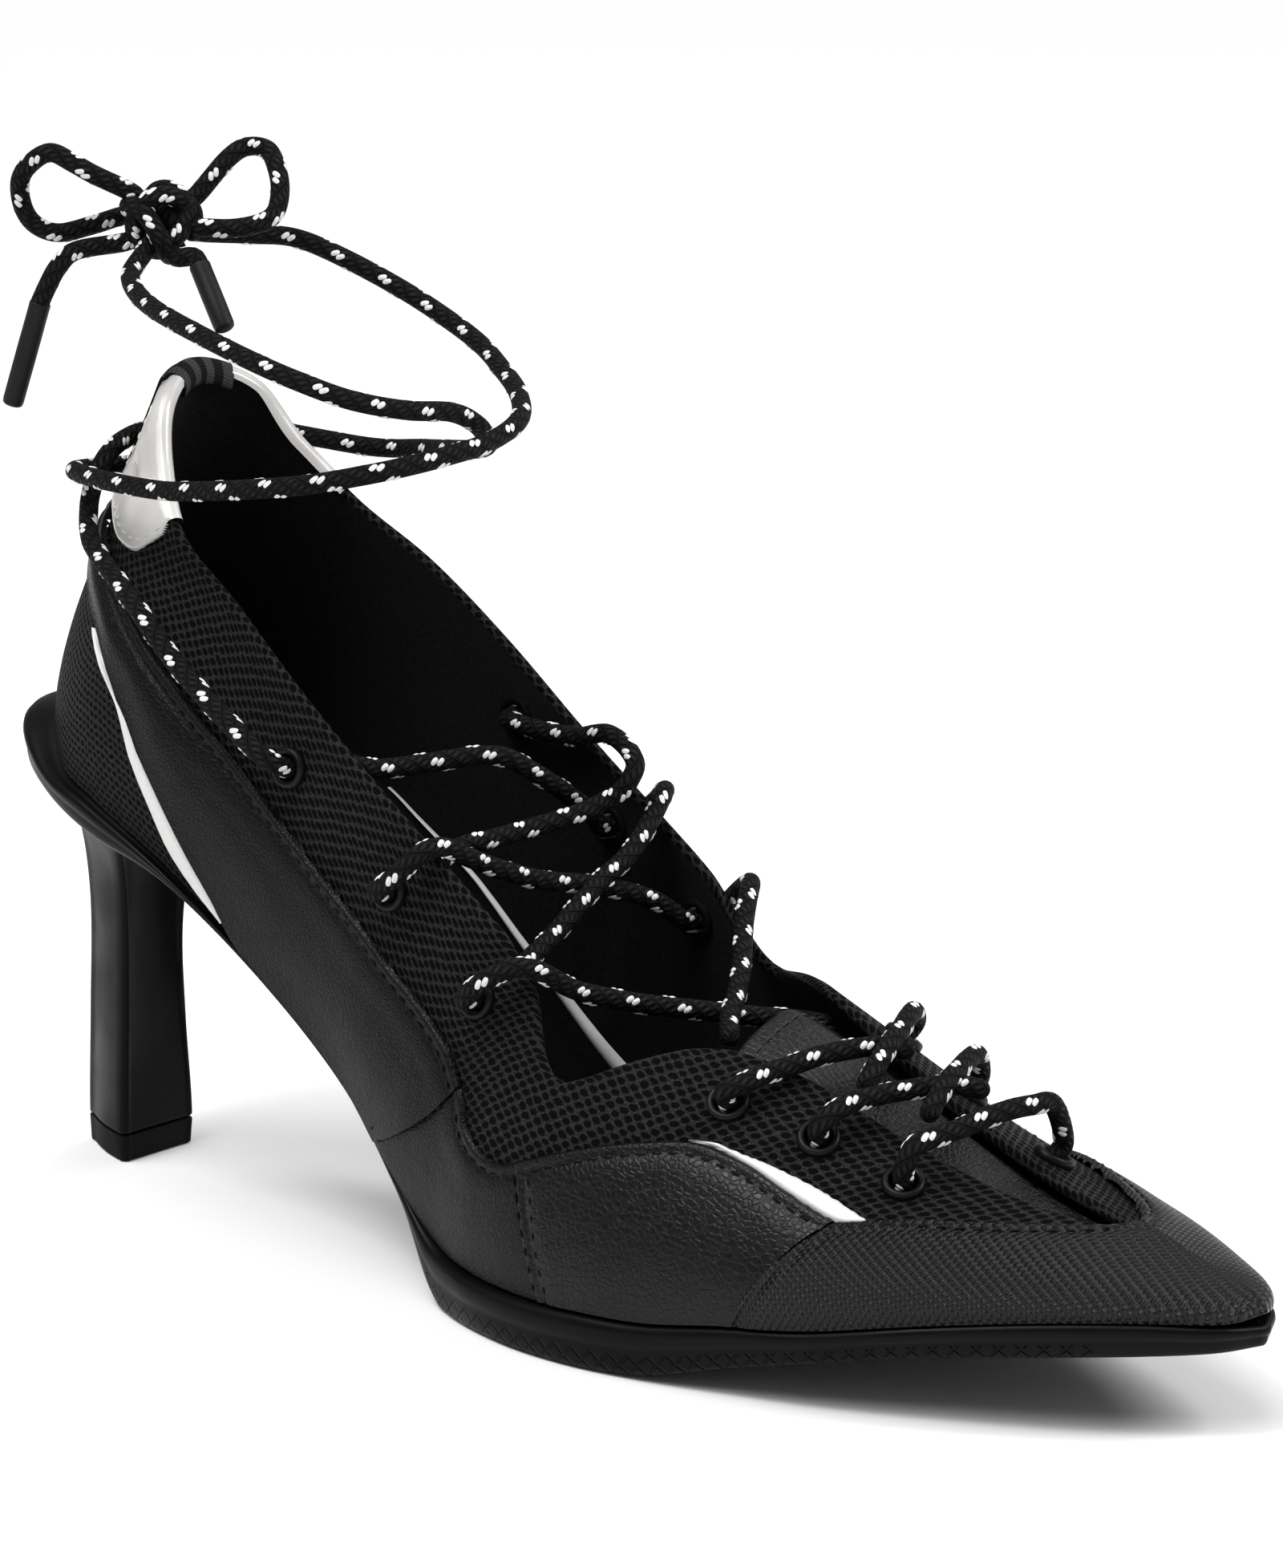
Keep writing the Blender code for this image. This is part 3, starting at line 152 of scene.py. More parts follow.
HEEL_FLANGE = [
    (2.2, 0.0016), (3.0, 0.0016), (3.5, 0.0015), (4.0, 0.0013), (4.5, 0.0010), (5.0, 0.0006),
]

# Panels as strips of (low rib, low share, high rib, high share)
SIDE_BAND = [
    (0.60, 0.52, 0.60, 0.61), (1.20, 0.50, 1.10, 0.60), (1.80, 0.49, 1.60, 0.62),
    (2.40, 0.495, 2.20, 0.655), (2.97, 0.445, 2.90, 0.65), (3.33, 0.376, 3.50, 0.62),
    (3.68, 0.298, 3.95, 0.592), (4.03, 0.209, 4.50, 0.585), (4.27, 0.144, 5.10, 0.578),
    (4.50, 0.085, 5.70, 0.57), (4.78, 0.00, 6.20, 0.58), (5.40, 0.00, 6.70, 0.585),
    (6.00, 0.00, 7.25, 0.595), (6.40, 0.00, 7.87, 0.582), (6.68, 0.00, 8.34, 0.505),
]
BALL_PANEL = [
    (6.60, 0.00, 8.20, 0.52), (6.95, 0.00, 8.48, 0.466), (7.50, 0.00, 8.67, 0.395),
    (8.10, 0.00, 9.00, 0.345), (9.00, 0.00, 9.43, 0.328), (9.80, 0.00, 9.75, 0.345),
    (10.42, 0.00, 9.83, 0.352),
]
FOREFOOT_PANEL = [
    (10.38, 0.00, 9.78, 0.348), (10.60, 0.00, 10.10, 0.372), (11.00, 0.00, 10.60, 0.405),
    (11.50, 0.00, 11.50, 0.453), (12.20, 0.00, 12.21, 0.483), (12.70, 0.00, 12.82, 0.470),
    (12.95, 0.00, 13.40, 0.446), (13.08, 0.00, 14.05, 0.415),
]
TOE_CAP = [
    (13.00, 0.00, 14.05, 0.410), (13.60, 0.00, 14.31, 0.448), (14.20, 0.00, 14.64, 0.509),
    (14.80, 0.00, 15.02, 0.572), (15.35, 0.00, 15.43, 0.657), (15.75, 0.00, 15.84, 0.770),
    (16.02, 0.00, 16.07, 0.890), (16.20, 0.00, 16.20, 1.00), (16.60, 0.00, 16.60, 1.00),
    (17.00, 0.00, 17.00, 1.00), (17.50, 0.00, 17.50, 1.00), (18.00, 0.00, 18.00, 1.00),
    (18.50, 0.00, 18.50, 1.00), (19.00, 0.00, 19.00, 1.00),
]
TOE_CAP_FREE_ROWS = 7
COLLAR_TAB = [
    (0.58, 0.93, 0.56, 1.00), (0.78, 0.80, 0.90, 1.00), (0.94, 0.69, 1.18, 1.00),
    (1.23, 0.645, 1.48, 1.00), (1.65, 0.672, 1.80, 1.00), (1.99, 0.715, 2.10, 1.00),
    (2.28, 0.767, 2.40, 1.00), (2.50, 0.85, 2.62, 1.00), (2.72, 0.94, 2.76, 1.00),
]
REAR_ACCENT = [
    (2.23, 0.480, 2.34, 0.498), (2.70, 0.440, 2.84, 0.452), (3.18, 0.392, 3.32, 0.396),
    (3.52, 0.278, 3.68, 0.300), (3.82, 0.182, 4.03, 0.210), (4.06, 0.100, 4.27, 0.146),
    (4.32, 0.052, 4.47, 0.098), (4.58, 0.030, 4.63, 0.050),
]
FRONT_ACCENT = [
    (12.10, 0.484, 12.10, 0.489), (12.45, 0.484, 12.42, 0.497), (12.85, 0.466, 12.77, 0.492),
    (13.30, 0.446, 13.20, 0.493), (13.75, 0.430, 13.69, 0.497), (14.10, 0.412, 14.03, 0.482),
    (14.32, 0.440, 14.24, 0.458),
]
SEAMS = [
    [(6.76, 0.020), (7.02, 0.11), (7.26, 0.19), (7.60, 0.29), (8.03, 0.407), (8.30, 0.462)],
    [(10.40, 0.015), (10.26, 0.11), (10.10, 0.186), (9.94, 0.261), (9.80, 0.325)],
    [(10.60, 0.015), (10.47, 0.09), (10.34, 0.165), (10.20, 0.257), (10.02, 0.345)],
]
SEAM_BEHIND = [(6.62, 0.020), (6.86, 0.11), (7.10, 0.20), (7.44, 0.30), (7.86, 0.42), (8.12, 0.49)]
TONGUE = [
    (11.95, 0.70, 0.84, 0.0052), (12.40, 0.68, 0.83, 0.0046), (12.90, 0.68, 0.83, 0.0041),
    (13.50, 0.70, 0.85, 0.0037), (14.20, 0.71, 0.86, 0.0033), (15.00, 0.73, 0.88, 0.0032),
    (15.60, 0.76, 0.90, 0.0031), (16.05, 0.80, 0.92, 0.0030),
]
INSIDE_PIPING = [
    (3.89, 0.06), (4.24, 0.07), (4.60, 0.10), (4.95, 0.13), (5.25, 0.136), (5.73, 0.136),
    (6.31, 0.150), (6.75, 0.158), (7.24, 0.162), (8.0, 0.168),
]

LACES = {
    "lace_strand_outer_1": [
        (("outer", 1, "in"),
         [(0.0686, -0.0200, 0.0781), (0.0710, -0.0150, 0.0768), (0.0737, -0.0080, 0.0768),
          (0.0778, 0.0000, 0.0773), (0.0801, 0.0040, 0.0767), (0.0819, 0.0090, 0.0736),
          (0.0838, 0.0150, 0.0692), (0.0845, 0.0190, 0.0660)],
         ("inner", 2, "in"))],
    "lace_strand_inner_1": [
        (("inner", 1, "in"),
         [(0.0703, 0.0209, 0.0772), (0.0763, 0.0208, 0.0770), (0.0812, 0.0205, 0.0774),
          (0.0868, 0.0200, 0.0788), (0.0910, 0.0195, 0.0776), (0.0941, 0.0184, 0.0754),
          (0.0943, 0.0170, 0.0732), (0.0930, 0.0160, 0.0710), (0.0913, 0.0140, 0.0696),
          (0.0902, 0.0110, 0.0685), (0.0886, 0.0070, 0.0677), (0.0867, 0.0000, 0.0668),
          (0.0863, -0.0060, 0.0666), (0.0855, -0.0120, 0.0664), (0.0856, -0.0175, 0.0648)],
         ("outer", 2, "in"))],
    "lace_crossing_2": [
        (("outer", 2, "out"),
         [(0.0885, -0.0302, 0.0655), (0.0915, -0.0280, 0.0690), (0.0925, -0.0240, 0.0696),
          (0.0931, -0.0190, 0.0672), (0.0940, -0.0120, 0.0640), (0.0950, -0.0040, 0.0611),
          (0.0969, 0.0050, 0.0591), (0.0986, 0.0115, 0.0570), (0.1001, 0.0170, 0.0545)],
         ("inner", 3, "in")),
        (("inner", 2, "out"),
         [(0.0884, 0.0298, 0.0665), (0.0915, 0.0285, 0.0690), (0.0945, 0.0245, 0.0692),
          (0.0960, 0.0200, 0.0665), (0.0975, 0.0130, 0.0625), (0.0978, 0.0060, 0.0597),
          (0.0987, 0.0000, 0.0572), (0.0994, -0.0050, 0.0549), (0.1002, -0.0100, 0.0530),
          (0.1015, -0.0160, 0.0514)],
         ("outer", 3, "in"))],
    "lace_crossing_3": [
        (("outer", 3, "out"),
         [(0.1065, -0.0308, 0.0525), (0.1100, -0.0285, 0.0548), (0.1120, -0.0245, 0.0540),
          (0.1139, -0.0180, 0.0500), (0.1182, -0.0090, 0.0470), (0.1234, -0.0010, 0.0452),
          (0.1294, 0.0050, 0.0441), (0.1350, 0.0085, 0.0438), (0.1385, 0.0098, 0.0436)],
         None),
        (("inner", 3, "out"),
         [(0.1055, 0.0302, 0.0550), (0.1090, 0.0285, 0.0570), (0.1122, 0.0240, 0.0560),
          (0.1155, 0.0190, 0.0530), (0.1209, 0.0120, 0.0494), (0.1249, 0.0060, 0.0468),
          (0.1285, 0.0000, 0.0448), (0.1330, -0.0055, 0.0438)],
         None)],
    "lace_crossing_4": [
        (("outer", 4, "out"),
         [(0.1495, -0.0215, 0.0434), (0.1505, -0.0185, 0.0442), (0.1520, -0.0150, 0.0448),
          (0.1540, -0.0105, 0.0458), (0.1562, -0.0060, 0.0462), (0.1580, -0.0020, 0.0462),
          (0.1596, 0.0025, 0.0450)],
         None),
        (("inner", 4, "out"),
         [(0.1542, 0.0115, 0.0480), (0.1565, 0.0070, 0.0482), (0.1585, 0.0025, 0.0476),
          (0.1603, -0.0025, 0.0466), (0.1618, -0.0075, 0.0446), (0.1622, -0.0098, 0.0430)],
         None)],
    "lace_crossing_5": [
        (("outer", 5, "out"),
         [(0.1626, -0.0176, 0.0406), (0.1636, -0.0145, 0.0416), (0.1650, -0.0115, 0.0420),
          (0.1670, -0.0080, 0.0424), (0.1695, -0.0040, 0.0427), (0.1715, 0.0000, 0.0424),
          (0.1730, 0.0030, 0.0414)],
         None),
        (("inner", 5, "out"),
         [(0.1668, 0.0105, 0.0438), (0.1683, 0.0060, 0.0442), (0.1698, 0.0020, 0.0440),
          (0.1712, -0.0025, 0.0434), (0.1722, -0.0060, 0.0420), (0.1727, -0.0085, 0.0404)],
         None)],
    "lace_bar_front": [
        (("outer", 6, "out"),
         [(0.1758, -0.0159, 0.0376), (0.1772, -0.0130, 0.0386), (0.1789, -0.0095, 0.0394),
          (0.1804, -0.0055, 0.0404), (0.1818, -0.0015, 0.0410), (0.1828, 0.0025, 0.0410),
          (0.1832, 0.0070, 0.0402)],
         ("inner", 6, "out"))],
}
TIES = {
    "ankle_tie_outer": [
        (0.0625, -0.0310, 0.0800), (0.0554, -0.0315, 0.0845), (0.0482, -0.0312, 0.0890),
        (0.0414, -0.0306, 0.0935), (0.0343, -0.0292, 0.0985), (0.0255, -0.0262, 0.1028),
        (0.0168, -0.0222, 0.1063), (0.0116, -0.0176, 0.1102), (0.0104, -0.0152, 0.1140),
        (0.0106, -0.0125, 0.1180), (0.0092, -0.0070, 0.1199), (0.0084, 0.0000, 0.1206),
        (0.0108, 0.0090, 0.1205), (0.0160, 0.0165, 0.1195), (0.0314, 0.0255, 0.1170),
        (0.0420, 0.0262, 0.1178), (0.0532, 0.0215, 0.1195), (0.0640, 0.0150, 0.1215),
        (0.0722, 0.0090, 0.1240), (0.0765, 0.0020, 0.1282), (0.0775, -0.0050, 0.1312),
        (0.0765, -0.0140, 0.1325), (0.0730, -0.0225, 0.1347), (0.0665, -0.0280, 0.1378),
        (0.0580, -0.0292, 0.1402), (0.0480, -0.0280, 0.1423), (0.0380, -0.0250, 0.1437),
        (0.0293, -0.0210, 0.1446), (0.0211, -0.0160, 0.1457), (0.0152, -0.0110, 0.1472)],
    "ankle_tie_inner": [
        (0.0640, 0.0305, 0.0800), (0.0560, 0.0312, 0.0850), (0.0480, 0.0308, 0.0905),
        (0.0400, 0.0300, 0.0960), (0.0310, 0.0280, 0.1015), (0.0215, 0.0248, 0.1060),
        (0.0130, 0.0198, 0.1095), (0.0084, 0.0125, 0.1122), (0.0060, 0.0045, 0.1140),
        (0.0054, -0.0050, 0.1149), (0.0068, -0.0136, 0.1157), (0.0118, -0.0204, 0.1166),
        (0.0240, -0.0255, 0.1172), (0.0379, -0.0275, 0.1176), (0.0490, -0.0290, 0.1190),
        (0.0590, -0.0292, 0.1205), (0.0685, -0.0272, 0.1220), (0.0755, -0.0220, 0.1236),
        (0.0785, -0.0160, 0.1245), (0.0803, -0.0090, 0.1254), (0.0806, 0.0000, 0.1264),
        (0.0782, 0.0095, 0.1284), (0.0700, 0.0185, 0.1305), (0.0615, 0.0240, 0.1330),
        (0.0546, 0.0270, 0.1356), (0.0469, 0.0280, 0.1387), (0.0384, 0.0262, 0.1430),
        (0.0300, 0.0215, 0.1478), (0.0239, 0.0170, 0.1508), (0.0190, 0.0120, 0.1514)],
    "bow_loop_left": [
        (0.0053, -0.0090, 0.1617), (0.0027, -0.0110, 0.1635), (-0.0002, -0.0130, 0.1651),
        (-0.0036, -0.0140, 0.1633), (-0.0062, -0.0140, 0.1604), (-0.0069, -0.0130, 0.1563),
        (-0.0058, -0.0115, 0.1532), (-0.0030, -0.0090, 0.1518), (0.0010, -0.0055, 0.1530)],
    "bow_loop_right": [
        (0.0165, 0.0095, 0.1634), (0.0179, 0.0125, 0.1652), (0.0208, 0.0142, 0.1648),
        (0.0238, 0.0132, 0.1621), (0.0256, 0.0120, 0.1589), (0.0264, 0.0100, 0.1557),
        (0.0255, 0.0075, 0.1542), (0.0225, 0.0045, 0.1534)],
    "lace_end_left": [
        (0.0025, -0.0105, 0.1496), (0.0004, -0.0125, 0.1470), (-0.0010, -0.0135, 0.1440),
        (-0.0022, -0.0140, 0.1414)],
    "lace_end_right": [
        (0.0193, -0.0012, 0.1492), (0.0206, -0.0013, 0.1482)],
}
AGLETS = {
    "aglet_left": [(-0.0023, -0.0140, 0.1410), (-0.0071, -0.0160, 0.1246)],
    "aglet_right": [(0.0209, -0.0014, 0.1478), (0.0279, -0.0030, 0.1387)],
}
KNOT_CENTRE = (0.0117, 0.0, 0.1541)
KNOT_RADII = (0.0052, 0.0046, 0.0050)
KNOT_ENDS = {
    "ankle_tie_outer": (None, (0.13, -0.77, -0.63)),
    "ankle_tie_inner": (None, (0.35, 0.88, -0.32)),
    "bow_loop_left": ((-0.45, -0.60, 0.66), (-0.965, -0.26, 0.05)),
    "bow_loop_right": ((0.36, 0.73, 0.58), (0.96, 0.26, -0.09)),
    "lace_end_left": ((-0.55, -0.70, -0.45), None),
    "lace_end_right": ((0.65, -0.31, -0.69), None),
}


def column(rows, c, rib):
    """One column of a rib table, read on the smooth curve that the solids use."""
    table = np.array(rows, float)
    x, y = table[:, 0], table[:, c]
    rib = np.clip(rib, x[0], x[-1])
    slopes = np.zeros(len(x))
    for k in range(1, len(x)):
        high = min(k + 1, len(x) - 1)
        slopes[k] = (y[high] - y[k - 1]) / (x[high] - x[k - 1])
    i = np.clip(np.searchsorted(x, rib, side="right") - 1, 0, len(x) - 2)
    span = x[i + 1] - x[i]
    t = (rib - x[i]) / span
    return (y[i] * (2 * t**3 - 3 * t**2 + 1) + slopes[i] * span * (t**3 - 2 * t**2 + t)
            + y[i + 1] * (3 * t**2 - 2 * t**3) + slopes[i + 1] * span * (t**3 - t**2))


def odd_column(rows, c, rib):
    """The same for a width, which starts straight out from the back centre."""
    rib = np.asarray(rib, float)
    first, second = rows[1], rows[2]
    span = first[0] - rows[0][0]
    t = np.clip(rib / span, 0, 1)
    near = (first[c] * (3 * t**2 - 2 * t**3) + first[c] * (t**3 - 2 * t**2 + t)
            + second[c] / second[0] * span * (t**3 - t**2))
    return np.where(rib < first[0], near, column(rows, c, np.maximum(rib, first[0])))


def stack(x, y, z):
    return np.stack(np.broadcast_arrays(x, y, z), axis=-1)


def unit(v):
    return v / np.maximum(np.linalg.norm(v, axis=-1, keepdims=True), 1e-12)


def run_lengths(line):
    """Distance of each point of a line from its start."""
    return np.concatenate([[0], np.cumsum(np.linalg.norm(np.diff(line, axis=0), axis=1))])


def row_lengths(grid):
    """The same along each row of a grid."""
    steps = np.linalg.norm(np.diff(grid, axis=1), axis=2)
    return np.concatenate([np.zeros((len(grid), 1)), np.cumsum(steps, axis=1)], 1)


def read_line(places, lengths, values):
    """Values of a line at distances from its start."""
    return np.stack([np.interp(places, lengths, values[:, c]) for c in range(values.shape[1])], -1)


def pair(u, v):
    """Flat places of a grid from its two directions."""
    return np.stack(np.broadcast_arrays(u, v), axis=-1)


def round_about(a, b, angles):
    """Directions at angles from a towards b."""
    return a * np.cos(angles)[..., None] + b * np.sin(angles)[..., None]


def feather(rib, side):
    """Edge of the last at the sole."""
    c = 2 if side < 0 else 3
    return stack(HEEL_BACK + LAST_LENGTH * column(FEATHER, 1, rib),
                 side * HALF_BALL * odd_column(FEATHER, c, rib),
                 SEAT_HEIGHT * column(FEATHER, 4, rib))


def rib_top(rib, side):
    """Topline, or the ridge where the last is closed."""
    spread = odd_column(TOP, 2 if side < 0 else 3, rib)
    return stack(HEEL_BACK + LAST_LENGTH * column(TOP, 1, rib),
                 HALF_BALL * (column(TOP, 4, rib) + side * spread),
                 COLLAR_HEIGHT * column(TOP, 5, rib))


def outward(rib, side):
    """Level directions out from the sole's edge."""
    rib = np.asarray(rib, float)
    step = 0.05
    along = feather(rib + step, side) - feather(np.maximum(rib - step, 0), side)
    out = unit(stack(-along[..., 1] * side, along[..., 0] * side, 0.0))
    out = np.where((rib < step)[..., None], np.array((-1.0, 0, 0)), out)
    return np.where((rib > LAST_RIB - step)[..., None], np.array((1.0, 0, 0)), out)


def surface(rib, share, side):
    """Points of the last at shares of the way up the ribs."""
    rib, share = np.broadcast_arrays(np.asarray(rib, float), np.asarray(share, float))
    low, high = feather(rib, side), rib_top(rib, side)
    rise = (high - low)[..., 2:]
    out_low, up_low, out_high, down_high = (column(BULGE, c, rib)[..., None] for c in range(1, 5))
    out = outward(rib, side)
    turn = np.clip((rib - FRONT_TURN_START) / FRONT_TURN_SPAN, 0, 1)
    turn = (turn * turn * (3 - 2 * turn))[..., None]
    out_top = unit(out * (1 - turn) + np.array((0.0, side, 0.0)) * turn)
    up = np.array((0.0, 0.0, 1.0))
    near = low + out * out_low * rise + up * up_low * rise
    if side > 0:
        fade = np.minimum((LAST_RIB - rib) / 3, 1.0)[..., None]
        down_high = down_high + INNER_CREST_DROP * turn * fade
    far = high + out_top * out_high * rise - up * down_high * rise
    t = share[..., None]
    return (low * (1 - t)**3 + near * 3 * t * (1 - t)**2 + far * 3 * t * t * (1 - t)
            + high * t**3)


def normal(rib, share, side):
    """Unit normals out of the last."""
    rib, share = np.broadcast_arrays(np.asarray(rib, float), np.asarray(share, float))
    step = 0.04
    low, high = np.maximum(rib - step, 0.0), np.minimum(rib + step, LAST_RIB)
    along = surface(high, share, side) - surface(low, share, side)
    up = (surface(rib, np.minimum(share + step, 1.0), side)
          - surface(rib, np.maximum(share - step, 0.0), side))
    return unit(np.cross(along, up) * -side)


RIBS = np.linspace(0, LAST_RIB, 381)
MIDDLE = {s: surface(RIBS, 0.45, s) for s in (-1, 1)}
REACH = {s: run_lengths(MIDDLE[s]) for s in (-1, 1)}
CLIMB = {s: np.linalg.norm(np.diff(surface(RIBS[:, None], np.linspace(0, 1, 25), s), axis=1),
                           axis=2).sum(1) for s in (-1, 1)}


def flat(rib, share, side):
    """Place on the flattened upper in millimetres, for patterns."""
    u = np.interp(rib, RIBS, REACH[side]) * MM
    v = share * np.interp(rib, RIBS, CLIMB[side]) * MM
    return pair(u * -side, v)


def smooth_line(rows, per=8):
    """Points on a smooth curve through rows of numbers, per to each stretch."""
    p = np.array(rows, float)
    padded = np.vstack([2 * p[0] - p[1], p, 2 * p[-1] - p[-2]])
    out = []
    for a, b, c, d in zip(padded, padded[1:], padded[2:], padded[3:]):
        for t in np.arange(per) / per:
            out.append(0.5 * (2 * b + (c - a) * t + (2 * a - 5 * b + 4 * c - d) * t * t
                              + (3 * b - a - 3 * c + d) * t**3))
    out.append(p[-1])
    return np.array(out)


def even_line(points, step):
    """The same line with points an even step apart."""
    lengths = run_lengths(points)
    count = max(int(round(lengths[-1] / step)), 2)
    places = np.linspace(0, lengths[-1], count + 1)
    return read_line(places, lengths, points)


def line_length(points):
    return float(np.linalg.norm(np.diff(points, axis=0), axis=1).sum())


def put(name, mesh, materials, nodes=(), angle=50):
    """Make a piece of a mesh: it rides on the one body and stands for its nodes."""
    piece = bpy.data.objects.new(name, mesh)
    bpy.context.scene.collection.objects.link(piece)
    for m in materials:
        mesh.materials.append(m)
    for polygon in mesh.polygons:
        polygon.use_smooth = True
    mesh.set_sharp_from_angle(angle=math.radians(angle))
    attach(piece, "root")
    if nodes:
        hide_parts(*nodes)
    return piece


def grids_mesh(name, layers, weld=0.00001):
    """Mesh of grids: (points, flat places, material index, turned round)."""
    verts, faces, uvs, kinds = [], [], [], []
    start = 0
    for points, places, kind, turned in layers:
        n, m = points.shape[:2]
        verts.append(points.reshape(-1, 3))
        index = np.arange(n * m).reshape(n, m) + start
        quads = np.stack([index[:-1, :-1], index[1:, :-1], index[1:, 1:], index[:-1, 1:]], -1)
        if turned:
            quads = quads[..., ::-1]
        kind = np.broadcast_to(np.asarray(kind), (n - 1, m - 1))
        keep = kind.reshape(-1) >= 0
        quads = quads.reshape(-1, 4)[keep]
        kinds.append(kind.reshape(-1)[keep])
        faces.append(quads)
        uvs.append(places.reshape(-1, 2)[quads - start])
        start += n * m
    verts, faces = np.vstack(verts), np.vstack(faces)
    mesh = bpy.data.meshes.new(name)
    mesh.from_pydata(verts.tolist(), [], faces.tolist())
    layer = mesh.uv_layers.new(name="flat")
    layer.data.foreach_set("uv", np.concatenate([u.reshape(-1) for u in uvs]).astype(np.float32))
    mesh.polygons.foreach_set("material_index", np.concatenate(kinds).astype(np.int32))
    shape = bmesh.new()
    shape.from_mesh(mesh)
    bmesh.ops.remove_doubles(shape, verts=shape.verts, dist=weld)
    shape.to_mesh(mesh)
    shape.free()
    return mesh


def tube_frames(path):
    """Directions along and across a path, without twist."""
    along = unit(np.gradient(path, axis=0))
    side = np.zeros_like(path)
    first = np.cross(along[0], (0.0, 0.0, 1.0))
    if np.linalg.norm(first) < 0.1:
        first = np.cross(along[0], (0.0, 1.0, 0.0))
    side[0] = unit(first)
    for k in range(1, len(path)):
        s = side[k - 1] - along[k] * np.dot(side[k - 1], along[k])
        side[k] = unit(s)
    return along, side, np.cross(along, side)


def tube_layer(path, radius, sides=14, kind=0, start_u=0.0):
    """Grid of a tube along a path; its places run along in mm and round from 0 to 1."""
    _, a, b = tube_frames(path)
    radius = np.broadcast_to(np.asarray(radius, float), (len(path),))
    turns = np.linspace(0, 1, sides + 1)
    ring = round_about(a[:, None], b[:, None], 2 * np.pi * turns)
    points = path[:, None] + ring * radius[:, None, None]
    lengths = run_lengths(path)
    return points, pair(start_u + lengths[:, None] * MM, turns[None]), kind, False


def rounded_tube(path, radius, sides=14, kind=0, start_u=0.0, cap=6):
    """Tube layer whose ends close in a dome."""
    along, _, _ = tube_frames(path)
    first, last = [], []
    for k in range(cap, 0, -1):
        angle = k / cap * np.pi / 2
        first.append((path[0] - along[0] * radius * np.sin(angle), radius * np.cos(angle)))
    for k in range(1, cap + 1):
        angle = k / cap * np.pi / 2
        last.append((path[-1] + along[-1] * radius * np.sin(angle), radius * np.cos(angle)))
    whole = np.vstack([[p for p, _ in first], path, [p for p, _ in last]])
    radii = np.concatenate([[max(r, 0.00002) for _, r in first], np.full(len(path), radius),
                            [max(r, 0.00002) for _, r in last]])
    return tube_layer(whole, radii, sides, kind, start_u)


# Materials


def toned(color, factor):
    return tuple(min(c * factor, 1.0) for c in color)


class Maker:
    """Short calls for a material's nodes."""

    def __init__(self, name, color, rough, spec=0.5, metal=0.0):
        self.material = bpy.data.materials.new(name)
        self.material.use_nodes = True
        self.tree = self.material.node_tree
        self.shader = self.tree.nodes["Principled BSDF"]
        self.shader.inputs["Base Color"].default_value = (*color, 1.0)
        self.shader.inputs["Roughness"].default_value = rough
        self.shader.inputs["Specular IOR Level"].default_value = spec
        self.shader.inputs["Metallic"].default_value = metal
        self.bumps = None

    def node(self, kind, inputs=None, **props):
        made = self.tree.nodes.new(kind)
        for key, value in props.items():
            setattr(made, key, value)
        for key, value in (inputs or {}).items():
            if isinstance(value, bpy.types.NodeSocket):
                self.tree.links.new(value, made.inputs[key])
            else:
                made.inputs[key].default_value = value
        return made

    def math(self, operation, a, b=0.0, c=0.0):
        return self.node("ShaderNodeMath", {0: a, 1: b, 2: c}, operation=operation).outputs[0]

    def wave(self, value, length):
        """Sine of a wave length, from 0 to 1."""
        sine = self.math("SINE", self.math("MULTIPLY", value, 2 * math.pi / length))
        return self.math("MULTIPLY_ADD", sine, 0.5, 0.5)

    def places(self):
        """The flat places, split in two."""
        uv = self.node("ShaderNodeTexCoord").outputs["UV"]
        parts = self.node("ShaderNodeSeparateXYZ", {0: uv})
        return parts.outputs[0], parts.outputs[1], uv

    def here(self):
        """Object places in millimetres."""
        where = self.node("ShaderNodeTexCoord").outputs["Object"]
        return self.node("ShaderNodeVectorMath", {0: where, 3: float(MM)},
                         operation="SCALE").outputs[0]

    def noise(self, vector, scale, detail=2.0, rough=0.5):
        return self.node("ShaderNodeTexNoise", {"Vector": vector, "Scale": scale,
                                                "Detail": detail,
                                                "Roughness": rough}).outputs[0]

    def ramp(self, value, low, high, start=0.0, end=1.0, smooth=True):
        return self.node("ShaderNodeMapRange",
                         {0: value, 1: low, 2: high, 3: start, 4: end},
                         interpolation_type="SMOOTHSTEP" if smooth else "LINEAR").outputs[0]

    def mix(self, share, a, b):
        made = self.node("ShaderNodeMix", data_type="RGBA")
        for socket, value in ((made.inputs[0], share), (made.inputs[6], a), (made.inputs[7], b)):
            if isinstance(value, bpy.types.NodeSocket):
                self.tree.links.new(value, socket)
            elif isinstance(value, tuple):
                socket.default_value = (*value, 1.0)
            else:
                socket.default_value = value
        return made.outputs[2]

    def bump(self, height, depth, strength=1.0):
        """Stack a bump of a depth in metres on those before it."""
        inputs = {"Height": height, "Distance": depth, "Strength": strength}
        if self.bumps is not None:
            inputs["Normal"] = self.bumps
        self.bumps = self.node("ShaderNodeBump", inputs).outputs[0]
        self.tree.links.new(self.bumps, self.shader.inputs["Normal"])

    def color(self, socket):
        self.tree.links.new(socket, self.shader.inputs["Base Color"])

    def rough(self, socket):
        self.tree.links.new(socket, self.shader.inputs["Roughness"])

    def set(self, **values):
        for key, value in values.items():
            self.shader.inputs[key.replace("_", " ")].default_value = value


